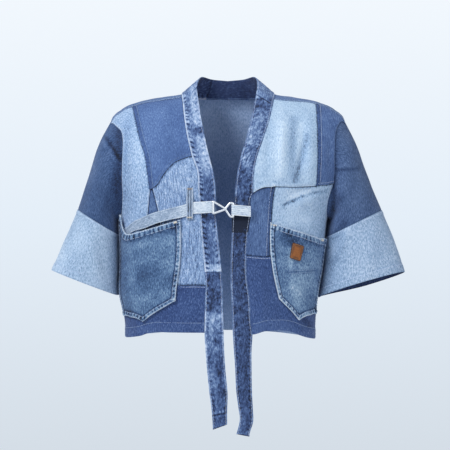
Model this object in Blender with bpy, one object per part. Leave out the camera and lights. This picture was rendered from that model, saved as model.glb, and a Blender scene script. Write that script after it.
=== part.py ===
"""Patched denim noragi jacket in its worn, hollow form.

Every piece that is cut and sewn is one closed cloth wall. The body pieces are cut out of one garment
surface, which is measured by two lengths: across (round the body from the centre line) and down (from
the ridge of the shoulder). Metres; +X is the wearer's left, -Y the front, +Z up, and the origin lies
between the shoulders at the height of the neck seam.
"""

import math

import bpy
import numpy as np
from mathutils.geometry import delaunay_2d_cdt

for old in list(bpy.data.objects):
    bpy.data.objects.remove(old, do_unlink=True)

# Driving sizes
QUARTER_ROUND = 0.310  # from the centre line to the side seam, round the body
PLAN_POWER = 2.15  # 2 is an ellipse; more is squarer across the chest
FRONT_ROLL = 0.200  # how far down the front the shoulder goes on curving
BACK_ROLL = 0.060
CLOTH = 0.0016
BAND_CLOTH = 0.0028
SEAM_GAP = 0.0003
STEP = 0.026  # usual distance between points on a piece
CORNER = 1e-9
EDGE_CLEARANCE = 0.55  # share of the step that a piece's inner points keep from its edge
SHARPEST = 0.25  # least share of a side's inset that a sharp corner's is divided by
SHOULDER_POINTS = 5
CLOTH_ROUGHNESS = 0.85
METAL_ROUGHNESS = 0.30


def table(columns, rows):
    """The rows sorted by their first value, as one array for each named column."""
    return dict(zip(columns.split(), np.array(sorted(rows), float).T))


# The shoulder ridge, from the neck out to the top of the armhole
RIDGE = table(
    "x z",
    [
        (0.000, 0.030),
        (0.050, 0.026),
        (0.085, 0.015),
        (0.108, 0.006),
        (0.150, -0.001),
        (0.215, -0.014),
        (0.252, -0.031),
        (0.276, -0.057),
        (0.281, -0.070),
    ],
)
# Half widths to the wearer's right and left, and how far the cloth stands to the front and back
BODY = table(
    "z right left front back",
    [
        (0.03, 0.281, 0.281, 0.100, 0.105),
        (-0.06, 0.281, 0.281, 0.112, 0.112),
        (-0.13, 0.276, 0.271, 0.121, 0.124),
        (-0.20, 0.267, 0.257, 0.125, 0.127),
        (-0.28, 0.2555, 0.2365, 0.118, 0.117),
        (-0.34, 0.2520, 0.2290, 0.120, 0.112),
        (-0.41, 0.2530, 0.2200, 0.123, 0.113),
        (-0.47, 0.2545, 0.2110, 0.124, 0.115),
        (-0.51, 0.2475, 0.2080, 0.124, 0.116),
        (-0.56, 0.2425, 0.2060, 0.123, 0.118),
    ],
)
# The largest soft folds of the fronts: a line from top to foot, its half width, and its height
FRONT_FOLDS = table(
    "top_x top_z foot_x foot_z half_width height",
    [
        (0.128, -0.030, 0.124, -0.205, 0.015, 0.0040),
        (0.166, -0.045, 0.172, -0.215, 0.013, -0.0050),
        (0.196, -0.060, 0.190, -0.210, 0.013, 0.0035),
        (-0.150, -0.050, -0.128, -0.150, 0.016, 0.0025),
        (-0.215, -0.075, -0.222, -0.290, 0.014, 0.0040),
        (0.130, -0.238, 0.235, -0.208, 0.009, -0.0045),
        (0.150, -0.262, 0.225, -0.236, 0.012, 0.0035),
        (0.075, -0.420, 0.078, -0.560, 0.014, 0.0030),
        (-0.090, -0.460, -0.092, -0.560, 0.016, 0.0030),
        (-0.160, -0.500, -0.170, -0.570, 0.018, -0.0030),
    ],
)
BACK_FOLDS = table(
    "top_x top_z foot_x foot_z half_width height",
    [
        (-0.165, -0.100, -0.190, -0.420, 0.020, 0.0060),
        (-0.120, -0.240, -0.125, -0.560, 0.020, -0.0050),
        (-0.040, -0.330, -0.030, -0.560, 0.022, 0.0045),
        (0.060, -0.280, 0.075, -0.560, 0.020, -0.0045),
        (0.150, -0.110, 0.180, -0.460, 0.022, 0.0060),
    ],
)

# Seams of the right front, as x and z on the front
RIGHT_NECK_CHEST = [(-0.102, -0.052), (-0.095, -0.095), (-0.083, -0.146)]
RIGHT_NECK_WAIST = [
    (-0.083, -0.146),
    (-0.070, -0.184),
    (-0.068, -0.227),
    (-0.064, -0.284),
    (-0.060, -0.342),
    (-0.055, -0.390),
    (-0.051, -0.445),
]
RIGHT_NECK_HEM = [(-0.051, -0.445), (-0.053, -0.500), (-0.054, -0.552)]
RIGHT_CHEST_SIDE = [(-0.206, -0.098), (-0.190, -0.152), (-0.182, -0.209), (-0.180, -0.222)]
RIGHT_POCKET_CURVE = [
    (-0.083, -0.146),
    (-0.103, -0.152),
    (-0.122, -0.160),
    (-0.138, -0.175),
    (-0.151, -0.192),
    (-0.165, -0.213),
    (-0.174, -0.220),
]
RIGHT_WEDGE_TOP = [(-0.180, -0.222), (-0.174, -0.220)]
RIGHT_WEDGE_SIDE = [(-0.180, -0.222), (-0.186, -0.277), (-0.190, -0.340), (-0.192, -0.448)]
RIGHT_WEDGE_WAIST = [(-0.174, -0.220), (-0.167, -0.247), (-0.160, -0.277), (-0.155, -0.340), (-0.150, -0.446)]
RIGHT_HEM_SIDE = [(-0.192, -0.448), (-0.222, -0.450)]
RIGHT_HEM_WEDGE = [(-0.150, -0.446), (-0.192, -0.448)]
RIGHT_HEM_WAIST = [(-0.051, -0.445), (-0.115, -0.444), (-0.150, -0.446)]
RIGHT_HEM = [
    (-0.054, -0.552),
    (-0.131, -0.5525),
    (-0.174, -0.5535),
    (-0.190, -0.5575),
    (-0.201, -0.5620),
    (-0.218, -0.5660),
    (-0.2365, -0.5695),
]

# Seams of the left front
LEFT_NECK_CHEST = [(0.098, -0.054), (0.081, -0.107), (0.066, -0.151), (0.058, -0.207), (0.058, -0.231)]
LEFT_NECK_CENTRE = [(0.058, -0.231), (0.053, -0.243), (0.051, -0.289), (0.046, -0.321), (0.042, -0.376)]
LEFT_NECK_HEM = [(0.042, -0.376), (0.042, -0.413), (0.050, -0.482), (0.052, -0.525), (0.056, -0.556)]
LEFT_CHEST_STRIP = [(0.209, -0.083), (0.208, -0.154), (0.205, -0.214)]
LEFT_CHEST_CENTRE = [(0.058, -0.231), (0.069, -0.224), (0.081, -0.219), (0.107, -0.216)]
LEFT_CHEST_SIDE = [(0.107, -0.216), (0.158, -0.217), (0.182, -0.216), (0.205, -0.214)]
LEFT_STRIP_SIDE = [(0.205, -0.214), (0.226, -0.211), (0.248, -0.208)]
LEFT_CENTRE_SIDE = [(0.107, -0.216), (0.102, -0.254), (0.099, -0.294), (0.096, -0.339), (0.095, -0.378)]
LEFT_HEM_CENTRE = [(0.042, -0.376), (0.069, -0.378), (0.095, -0.378)]
LEFT_HEM_SIDE = [(0.095, -0.378), (0.155, -0.384)]
LEFT_HEM = [
    (0.056, -0.556),
    (0.085, -0.549),
    (0.108, -0.548),
    (0.132, -0.549),
    (0.150, -0.5535),
    (0.169, -0.5620),
    (0.181, -0.5665),
    (0.197, -0.5715),
]

# The armholes, from the shoulder seam down to the side seam; the back ones mirror them
RIGHT_ARMHOLE = [
    (-0.262, -0.0735),
    (-0.2515, -0.0835),
    (-0.2475, -0.095),
    (-0.246, -0.134),
    (-0.248, -0.190),
    (-0.247, -0.246),
    (-0.249, -0.274),
]
LEFT_ARMHOLE_STRIP = [(0.262, -0.066), (0.254, -0.084), (0.250, -0.134), (0.248, -0.208)]
LEFT_ARMHOLE_SIDE = [(0.248, -0.208), (0.242, -0.223), (0.233, -0.260), (0.2325, -0.273)]

# The shoulder seams lie this far in front of the ridge and below it
SHOULDER_SEAM = table(
    "x right_drop left_drop",
    [
        (0.108, 0.009, 0.015),
        (0.160, 0.009, 0.011),
        (0.208, 0.008, 0.007),
        (0.250, 0.007, 0.006),
        (0.278, 0.005, 0.005),
    ],
)
NECK_X = 0.109
RIGHT_CHEST_TOP_X = -0.226
LEFT_CHEST_TOP_X = 0.208
ARMHOLE_TOP_X = 0.277
BACK_NECK = [(0.108, 0.000), (0.095, 0.006), (0.060, 0.020), (0.000, 0.026)]  # x, drop behind the ridge
BACK_HEM = [
    (-0.218, -0.5700),
    (-0.120, -0.566),
    (0.000, -0.564),
    (0.110, -0.567),
    (0.181, -0.5725),
]
# Heights on the side seams
RIGHT_UNDERARM_Z = -0.285
RIGHT_HEM_SEAM_Z = -0.456
RIGHT_CORNER_Z = -0.5705
LEFT_UNDERARM_Z = -0.281
LEFT_HEM_SEAM_Z = -0.392
LEFT_CORNER_Z = -0.5745

# The free edge of the band beside each point of its seam; below the hem both edges hang
RIGHT_BAND = table(
    "seam_z free_x free_z",
    [
        (-0.004, -0.074, 0.020),
        (-0.052, -0.064, -0.048),
        (-0.095, -0.055, -0.094),
        (-0.146, -0.044, -0.145),
        (-0.184, -0.034, -0.183),
        (-0.227, -0.028, -0.226),
        (-0.284, -0.027, -0.284),
        (-0.342, -0.022, -0.342),
        (-0.390, -0.017, -0.390),
        (-0.445, -0.013, -0.445),
        (-0.500, -0.012, -0.500),
        (-0.552, -0.010, -0.552),
    ],
)
LEFT_BAND = table(
    "seam_z free_x free_z",
    [
        (-0.010, 0.069, 0.016),
        (-0.054, 0.055, -0.051),
        (-0.107, 0.041, -0.108),
        (-0.151, 0.028, -0.152),
        (-0.207, 0.018, -0.207),
        (-0.243, 0.015, -0.243),
        (-0.289, 0.010, -0.289),
        (-0.342, 0.008, -0.342),
        (-0.413, 0.006, -0.413),
        (-0.482, 0.008, -0.482),
        (-0.556, 0.011, -0.556),
    ],
)
RIGHT_TIE = table(
    "seam_z seam_x free_x free_z",
    [
        (-0.590, -0.052, -0.009, -0.588),
        (-0.640, -0.048, -0.006, -0.637),
        (-0.697, -0.042, -0.001, -0.693),
        (-0.738, -0.037, -0.002, -0.731),
        (-0.774, -0.035, -0.002, -0.762),
    ],
)
LEFT_TIE = table(
    "seam_z seam_x free_x free_z",
    [
        (-0.590, 0.054, 0.013, -0.589),
        (-0.630, 0.054, 0.016, -0.629),
        (-0.690, 0.055, 0.019, -0.688),
        (-0.728, 0.057, 0.024, -0.726),
        (-0.752, 0.058, 0.027, -0.748),
        (-0.790, 0.049, 0.019, -0.784),
    ],
)
# The free edge of the band round the neck, from the centre back to the shoulder, as x, y and z
NECK_FREE_EDGE = [(0.000, 0.080, 0.046), (0.038, 0.073, 0.049), (0.060, 0.045, 0.052), (0.068, 0.012, 0.044)]

# Sleeve sections: the points on the top and the underarm line, half the depth, the middle's y, and
# how much higher the front is than the middle
RIGHT_SLEEVE = table(
    "run top_x top_z under_x under_z half_depth middle_y tilt",
    [
        (0.22, -0.300, -0.100, -0.2630, -0.295, 0.060, 0.000, 0.000),
        (0.50, -0.330, -0.190, -0.2625, -0.308, 0.065, -0.002, 0.000),
        (1.00, -0.3552, -0.268, -0.2615, -0.327, 0.067, -0.005, 0.001),
        (1.50, -0.384, -0.335, -0.2615, -0.395, 0.067, -0.008, 0.002),
        (2.00, -0.417, -0.412, -0.2635, -0.4711, 0.066, -0.010, 0.003),
    ],
)
LEFT_SLEEVE = table(
    "run top_x top_z under_x under_z half_depth middle_y tilt",
    [
        (0.22, 0.298, -0.100, 0.2440, -0.291, 0.056, 0.000, 0.000),
        (0.50, 0.330, -0.186, 0.2410, -0.306, 0.058, -0.002, 0.000),
        (1.00, 0.364, -0.270, 0.2370, -0.332, 0.056, -0.005, 0.002),
        (1.50, 0.3952, -0.3455, 0.2290, -0.402, 0.053, -0.008, 0.005),
        (2.00, 0.4183, -0.4169, 0.2180, -0.4757, 0.050, -0.010, 0.009),
    ],
)
SLEEVE_ROWS = 9
CUFF_ROWS = 6
ARMHOLE_GAP = 0.0022  # the walls meet at an angle here, so they stand further apart
ARMHOLE_ROW = 0.12  # the run of the row after the armhole's
SEAM_SHARE = 0.001

# The band round the neck: where its free edge passes the shoulder, and its joins
NECK_FRONT_Y = -0.030
NECK_BLEND = 0.055
NECK_STAND_OFF = 0.0009
BAND_NECK_JOIN = 0.045
BAND_COLUMNS = 2
BAND_PIECES = (
    "band_right_end",
    "band_right_lower",
    "band_right_upper",
    "band_neck",
    "band_left_upper",
    "band_left_lower",
)
RIGHT_BAND_JOIN_Z = -0.413
RIGHT_END_JOIN_Z = -0.738
LEFT_NECK_JOIN_Z = -0.012
LEFT_BAND_JOIN_Z = -0.320

# The right pocket wraps the side, so its sides are given as across and z; the left one's as x and z
RIGHT_POCKET = [
    [
        (-0.111, -0.293),
        (-0.150, -0.3035),
        (-0.193, -0.316),
        (-0.243, -0.326),
        (-0.260, -0.310),
        (-0.274, -0.280),
    ],
    [(-0.274, -0.280), (-0.287, -0.325), (-0.290, -0.370), (-0.289, -0.440), (-0.281, -0.519)],
    [(-0.281, -0.519), (-0.211, -0.528)],
    [(-0.211, -0.528), (-0.123, -0.479)],
    [(-0.123, -0.479), (-0.118, -0.433), (-0.113, -0.390), (-0.111, -0.293)],
]
LEFT_POCKET = [
    [(0.096, -0.299), (0.096, -0.352), (0.102, -0.411), (0.116, -0.475)],
    [(0.116, -0.475), (0.161, -0.525)],
    [(0.161, -0.525), (0.202, -0.514)],
    [(0.202, -0.514), (0.2085, -0.460), (0.217, -0.414), (0.227, -0.339)],
    [(0.227, -0.339), (0.210, -0.336), (0.188, -0.329), (0.164, -0.321), (0.096, -0.299)],
]
# How far the pockets stand off the fronts, above POCKET_LIFT: the right one gapes over the belt
POCKET_SWELLS = table(
    "across z half_across half_z height",
    [
        (-0.232, -0.315, 0.046, 0.045, 0.0105),
        (-0.215, -0.410, 0.050, 0.070, 0.0040),
        (0.190, -0.320, 0.045, 0.050, 0.0045),
    ],
)
POCKET_LABEL = [(0.145, -0.345), (0.139, -0.381), (0.163, -0.389), (0.171, -0.354)]
BELT_RIGHT = table(
    "x upper lower",
    [
        (-0.249, -0.321, -0.344),
        (-0.237, -0.312, -0.333),
        (-0.222, -0.300, -0.322),
        (-0.188, -0.2835, -0.3110),
        (-0.160, -0.2735, -0.3000),
        (-0.129, -0.2655, -0.2920),
        (-0.095, -0.2565, -0.2845),
        (-0.077, -0.252, -0.279),
        (-0.057, -0.251, -0.278),
        (-0.031, -0.250, -0.277),
    ],
)
TAB_Z = (-0.2582, -0.2822)  # its upper and lower edges beside the buckle
TAB_FALL = -0.0040
LOOP_X = (-0.0945, -0.0800)
LOOP_Z = (-0.2190, -0.2920)

# The short strap's path from the left front to the buckle's right bar and back, as x
STRAP_OUTER_X = (0.051, 0.036, 0.022)
STRAP_INNER_X = (0.022, 0.034, 0.044)
STRAP_EDGE_X = (0.006, 0.052)  # between these its edges fall by TAB_FALL
LOOP_RISE = (0.08, 0.42)  # shares of the loop's length over which it leaves the front
LOOP_RETURN = (0.93, 1.00)
LOOP_RETURN_DEPTH = 0.30  # the share of its height that it loses at its foot
LOOP_ROWS = 8

POCKET_LIFT = 0.0045
BELT_LIFT = 0.0036
BELT_CLOTH = 0.0020
LOOP_LIFT = 0.0066
LABEL_LIFT = 0.0032  # above the pocket's middle
LEATHER = 0.0020

# The bow-tie buckle stands in front of the bands, between its two upright bars
BUCKLE_LEFT_X = -0.0345
BUCKLE_WAIST_X = -0.0065
BUCKLE_SHOULDER_X = 0.0045  # where the right arms turn level, to clear the strap
BUCKLE_RIGHT_X = 0.0118
BUCKLE_Z = -0.2685
BUCKLE_LEFT_HALF = 0.0140
BUCKLE_RIGHT_HALF = 0.0155
BUCKLE_TILT = -0.13  # its fall to the left arms, per length
BUCKLE_LIFT = 0.0080
BUCKLE_BAR = 0.0040
BUCKLE_DEPTH = 0.0024
TAB_TURN = 0.0035
TAB_TURN_ROWS = 6

# Colours are linear, so that they look as the cloth does
COLOURS = {
    "denim_back": (0.22, 0.32, 0.52),
    "denim_mid": (0.11, 0.20, 0.45),
    "denim_pale": (0.27, 0.41, 0.66),
    "denim_very_pale": (0.43, 0.58, 0.78),
    "denim_dark": (0.044, 0.085, 0.22),
    "denim_sleeve": (0.063, 0.115, 0.245),
    "denim_cuff": (0.35, 0.48, 0.67),
    "denim_mottled": (0.11, 0.17, 0.33),
    "denim_pocket": (0.11, 0.19, 0.35),
    "denim_belt": (0.46, 0.56, 0.67),
    "leather": (0.32, 0.12, 0.035),
    "nickel": (0.80, 0.80, 0.82),
}


def smooth(rows, key, column, at):
    """A column read at any key through a smooth curve, constant past the first and last rows."""
    keys, values = rows[key], rows[column]
    slopes = np.gradient(values, keys)
    slopes[0] = slopes[-1] = 0.0
    at = np.clip(at, keys[0], keys[-1])
    i = np.clip(np.searchsorted(keys, at, side="right") - 1, 0, len(keys) - 2)
    width = keys[i + 1] - keys[i]
    t = (at - keys[i]) / width
    start = (1 + 2 * t) * (1 - t) ** 2 * values[i] + t * (1 - t) ** 2 * width * slopes[i]
    return start + t * t * (3 - 2 * t) * values[i + 1] + t * t * (t - 1) * width * slopes[i + 1]


def plan_quarter():
    """Shares of the way round a quarter of the plan, with the width and depth there."""
    angle = np.linspace(0, math.pi / 2, 2001)
    wide = np.sin(angle) ** (2 / PLAN_POWER)
    deep = np.maximum(np.cos(angle), 0) ** (2 / PLAN_POWER)
    steps = np.hypot(np.diff(wide * BODY["right"].mean()), np.diff(deep * BODY["front"].mean()))
    run = np.concatenate([[0], np.cumsum(steps)])
    return run / run[-1], wide, deep


SHARE, WIDE, DEEP = plan_quarter()
RIDGE_END = RIDGE["x"][-1]


def ridge_z(share):
    return smooth(RIDGE, "x", "z", RIDGE_END * np.interp(share, SHARE, WIDE))


def drop_at(down, roll):
    """How far below the ridge a point is, and how far the cloth has come forward, from 0 to 1."""
    turn = np.clip(down / roll, 0, math.pi / 2)
    straight = roll * math.pi / 2
    return np.where(down < straight, roll * (1 - np.cos(turn)), down - straight + roll), np.sin(turn)


def down_at(drop, roll):
    turning = roll * np.arccos(np.clip(1 - drop / roll, -1, 1))
    return np.where(drop < roll, turning, roll * math.pi / 2 + drop - roll)


def bare_surface(across, down):
    """Points of the garment surface without its folds."""
    share = np.clip(np.abs(across) / QUARTER_ROUND, 0, 1)
    is_front = down >= 0
    front_drop, front_reach = drop_at(np.abs(down), FRONT_ROLL)
    back_drop, back_reach = drop_at(np.abs(down), BACK_ROLL)
    z = ridge_z(share) - np.where(is_front, front_drop, back_drop)
    half = np.where(across < 0, smooth(BODY, "z", "right", z), smooth(BODY, "z", "left", z))
    reach = np.where(is_front, front_reach, back_reach) * np.interp(share, SHARE, DEEP)
    deep = np.where(is_front, -smooth(BODY, "z", "front", z), smooth(BODY, "z", "back", z))
    return np.stack([np.sign(across) * half * np.interp(share, SHARE, WIDE), deep * reach, z], -1)


def outward(across, down):
    small = 1e-4
    by_across = bare_surface(across + small, down) - bare_surface(across - small, down)
    by_down = bare_surface(across, down + small) - bare_surface(across, down - small)
    normal = np.cross(by_down, by_across)
    return normal / np.maximum(np.linalg.norm(normal, axis=-1, keepdims=True), 1e-12)


def fold_height(points, folds):
    """The folds' height at each point: each is a soft ridge along a line, fading at both ends."""
    total = np.zeros(points.shape[:-1])
    for i in range(len(folds["top_x"])):
        top = np.array([folds["top_x"][i], folds["top_z"][i]])
        run = np.array([folds["foot_x"][i], folds["foot_z"][i]]) - top
        place = points[..., [0, 2]] - top
        along = place @ run / (run @ run)
        aside = (place @ np.array([-run[1], run[0]])) / math.sqrt(run @ run)
        fade = np.clip(1 - (2 * along - 1) ** 2, 0, 1)
        total += folds["height"][i] * fade * np.exp(-((aside / folds["half_width"][i]) ** 2))
    return total


def surface(across, down, lift=0.0):
    """Points of the garment surface with its folds, moved out by lift."""
    across, down = np.asarray(across, float), np.asarray(down, float)
    points = bare_surface(across, down)
    height = np.where(down >= 0, fold_height(points, FRONT_FOLDS), fold_height(points, BACK_FOLDS))
    return points + outward(across, down) * (height + lift)[..., None]


def on_front(x, z, roll=FRONT_ROLL, sign=1):
    """Across and down of the front's point at x and z; with the back's roll and sign, of the back's."""
    half = smooth(BODY, "z", "right" if x < 0 else "left", z)
    share = np.interp(min(abs(x) / half, 1), WIDE, SHARE)
    drop = max(ridge_z(share) - z, 0)
    return math.copysign(share * QUARTER_ROUND, x), sign * float(down_at(drop, roll))


def round_the_side(across, z):
    """Across and down of the front's point at that length across and that height."""
    return across, float(down_at(ridge_z(abs(across) / QUARTER_ROUND) - z, FRONT_ROLL))


def on_back(x, z):
    return on_front(x, z, BACK_ROLL, -1)


def curve_through(points, step=STEP, count=None):
    """Points at about even steps on a smooth curve through the given ones, both ends kept."""
    points = np.array(points, float)
    run = np.concatenate([[0], np.cumsum(np.linalg.norm(np.diff(points, axis=0), axis=1))])
    count = count or max(1, round(run[-1] / step))
    if len(points) == 2:
        return points[0] + np.linspace(0, 1, count + 1)[:, None] * (points[1] - points[0])
    slopes = np.gradient(points, run, axis=0)
    at = np.linspace(0, run[-1], count + 1)
    i = np.clip(np.searchsorted(run, at, side="right") - 1, 0, len(run) - 2)
    width = (run[i + 1] - run[i])[:, None]
    t = (at - run[i])[:, None] / width
    start = (1 + 2 * t) * (1 - t) ** 2 * points[i] + t * (1 - t) ** 2 * width * slopes[i]
    return start + t * t * (3 - 2 * t) * points[i + 1] + t * t * (t - 1) * width * slopes[i + 1]


def seam(places, step=STEP, find=on_front):
    """A smooth seam through points given as x and z, as points across and down."""
    return curve_through([find(x, z) for x, z in places], step)


def level_seam(places, roll=FRONT_ROLL, sign=1):
    """A seam like a hem: through points given as x and z, its height smooth right round to the side."""
    found = np.array([on_front(x, z, roll, sign) for x, z in places])
    heights = table("across z", [(across, z) for across, (_, z) in zip(found[:, 0], places)])
    start, stop = found[0, 0], found[-1, 0]
    across = np.linspace(start, stop, round(abs(stop - start) / STEP) + 1)
    drop = ridge_z(np.abs(across) / QUARTER_ROUND) - smooth(heights, "across", "z", across)
    return np.stack([across, sign * down_at(drop, roll)], 1)


def side_point(sign, z):
    return sign * float(smooth(BODY, "z", "right" if sign < 0 else "left", z)), z


def shoulder_point(x):
    drop = smooth(SHOULDER_SEAM, "x", "right_drop" if x < 0 else "left_drop", abs(x))
    return x, float(smooth(RIDGE, "x", "z", abs(x)) - drop)


def material(name):
    shade = bpy.data.materials.get(name)
    if shade is None:
        shade = bpy.data.materials.new(name)
        shade.use_nodes = True
        skin = shade.node_tree.nodes["Principled BSDF"]
        skin.inputs["Base Color"].default_value = (*COLOURS[name], 1)
        is_metal = name == "nickel"
        skin.inputs["Roughness"].default_value = METAL_ROUGHNESS if is_metal else CLOTH_ROUGHNESS
        skin.inputs["Metallic"].default_value = float(is_metal)
    return shade


def add_object(name, points, faces, shade):
    mesh = bpy.data.meshes.new(name)
    mesh.from_pydata([tuple(map(float, p)) for p in points], [], [list(map(int, f)) for f in faces])
    mesh.materials.append(material(shade))
    made = bpy.data.objects.new(name, mesh)
    bpy.context.scene.collection.objects.link(made)
    return made


def wall(name, middle, normals, triangles, shade, thickness=CLOTH):
    """A closed wall of the given thickness round a middle surface whose triangles face outwards."""
    count = len(middle)
    half = 0.5 * thickness * normals
    faces = [tuple(t) for t in triangles]
    inner = [(c + count, b + count, a + count) for a, b, c in faces]
    edges = {(a, b) for t in faces for a, b in zip(t, t[1:] + t[:1])}
    rim = [(b, a, a + count, b + count) for a, b in edges if (b, a) not in edges]
    return add_object(name, np.concatenate([middle + half, middle - half]), faces + inner + rim, shade)


def inset(outline, distance):
    """The outline, counter-clockwise, with every side moved in by the distance."""
    sides = np.roll(outline, -1, axis=0) - outline
    sides /= np.linalg.norm(sides, axis=1)[:, None]
    inwards = np.stack([-sides[:, 1], sides[:, 0]], 1)
    before = np.roll(inwards, 1, axis=0)
    bisector = inwards + before
    share = 1 + (inwards * before).sum(1)
    return outline + distance * bisector / np.maximum(share, SHARPEST)[:, None]


def short_of(outline):
    """The outline moved in until its points are half a seam gap from the seam in space."""
    trial = inset(outline, SEAM_GAP)
    moved = np.linalg.norm(surface(*trial.T) - surface(*outline.T), axis=1)
    share = SEAM_GAP / 2 / np.maximum(moved, SEAM_GAP / 8)
    return outline + share[:, None] * (trial - outline)


def distance_to(outline, places):
    """The distance from each place to the nearest side of the outline."""
    best = np.full(len(places), np.inf)
    for a, b in zip(outline, np.roll(outline, -1, axis=0)):
        side = b - a
        t = np.clip((places - a) @ side / max(side @ side, CORNER), 0, 1)
        best = np.minimum(best, np.linalg.norm(places - a - t[:, None] * side, axis=1))
    return best


def inside(outline, places):
    """True for each place inside the outline."""
    within = np.zeros(len(places), bool)
    for a, b in zip(outline, np.roll(outline, -1, axis=0)):
        crosses = (a[1] > places[:, 1]) != (b[1] > places[:, 1])
        rise = b[1] - a[1] if b[1] != a[1] else CORNER
        within ^= crosses & (places[:, 0] < (b[0] - a[0]) * (places[:, 1] - a[1]) / rise + a[0])
    return within


def closed_outline(parts):
    """One counter-clockwise loop from seams that follow each other end to end."""
    loop = np.concatenate([part[:-1] for part in parts])
    following = np.roll(loop, -1, axis=0)
    area = (loop[:, 0] * following[:, 1] - loop[:, 1] * following[:, 0]).sum()
    return loop if area > 0 else loop[::-1]


def filled(outline, step=STEP):
    """Triangles that fill an outline, with a lattice of points inside it."""
    low, high = outline.min(0), outline.max(0)
    first = np.floor(low / step).astype(int)
    last = np.ceil(high / step).astype(int)
    lattice = [
        ((i + 0.5 * (j % 2)) * step, j * step)
        for j in range(first[1], last[1] + 1)
        for i in range(first[0] - 1, last[0] + 1)
    ]
    lattice = np.array(lattice)
    lattice = lattice[inside(outline, lattice)]
    if len(lattice):
        lattice = lattice[distance_to(outline, lattice) > EDGE_CLEARANCE * step]
    places = np.concatenate([outline, lattice.reshape(-1, 2)])
    scaled = [tuple(1000 * place) for place in places]
    found = delaunay_2d_cdt(scaled, [], [list(range(len(outline)))], 1, 1e-5)
    return np.array([tuple(p) for p in found[0]]) / 1000, [tuple(f) for f in found[2]]


def cut_piece(name, parts, shade, lift=None, thickness=CLOTH, step=STEP):
    """A piece of the garment surface inside the seams, short of each by half the seam gap."""
    outline = short_of(closed_outline(parts))
    places, triangles = filled(outline, step)
    across, down = places.T
    height = lift(across, down) if lift else np.zeros(len(places))
    turned = [t[::-1] for t in triangles]
    return wall(name, surface(across, down, height), outward(across, down), turned, shade, thickness)


def strip_grid(first_edge, second_edge, columns):
    """Rows of points across a strip between two edges, and the normals there."""
    share = np.linspace(0, 1, columns + 1)[None, :, None]
    grid = first_edge[:, None] * (1 - share) + second_edge[:, None] * share
    normals = np.cross(np.gradient(grid, axis=0), np.gradient(grid, axis=1))
    return grid, normals / np.linalg.norm(normals, axis=2, keepdims=True)


def strip_wall(name, grid, normals, shade, thickness):
    wide = grid.shape[1]
    triangles = []
    for row in range(len(grid) - 1):
        for column in range(wide - 1):
            a = row * wide + column
            triangles += [(a, a + wide + 1, a + 1), (a, a + wide, a + wide + 1)]
    return wall(name, grid.reshape(-1, 3), normals.reshape(-1, 3), triangles, shade, thickness)


def strip(name, first_edge, second_edge, shade, thickness, columns=1):
    """A strip of cloth between two edges with the same number of points."""
    grid, normals = strip_grid(first_edge, second_edge, columns)
    return strip_wall(name, grid, normals, shade, thickness)


def straight_down(sign, top_z, foot_z, find=on_front):
    return seam([side_point(sign, top_z), side_point(sign, foot_z)], STEP, find)


def shoulder(start_x, end_x):
    xs = np.linspace(start_x, end_x, SHOULDER_POINTS)
    return seam([shoulder_point(x) for x in xs])


def neck_half(sign):
    """The neck edge from the shoulder seam over the ridge to the centre back."""
    front = on_front(*shoulder_point(sign * NECK_X))
    places = [front]
    for x, drop in BACK_NECK:
        share = np.interp(x / RIDGE_END, WIDE, SHARE)
        places.append((sign * share * QUARTER_ROUND, -float(down_at(drop, BACK_ROLL))))
    return curve_through(places)


def back_armhole(sign, places, underarm_z):
    """The back's side of an armhole, from the shoulder seam over the ridge to the side seam."""
    top = on_front(*shoulder_point(sign * ARMHOLE_TOP_X))
    return curve_through([top] + [on_back(x, z) for x, z in places + [side_point(sign, underarm_z)]])


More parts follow.
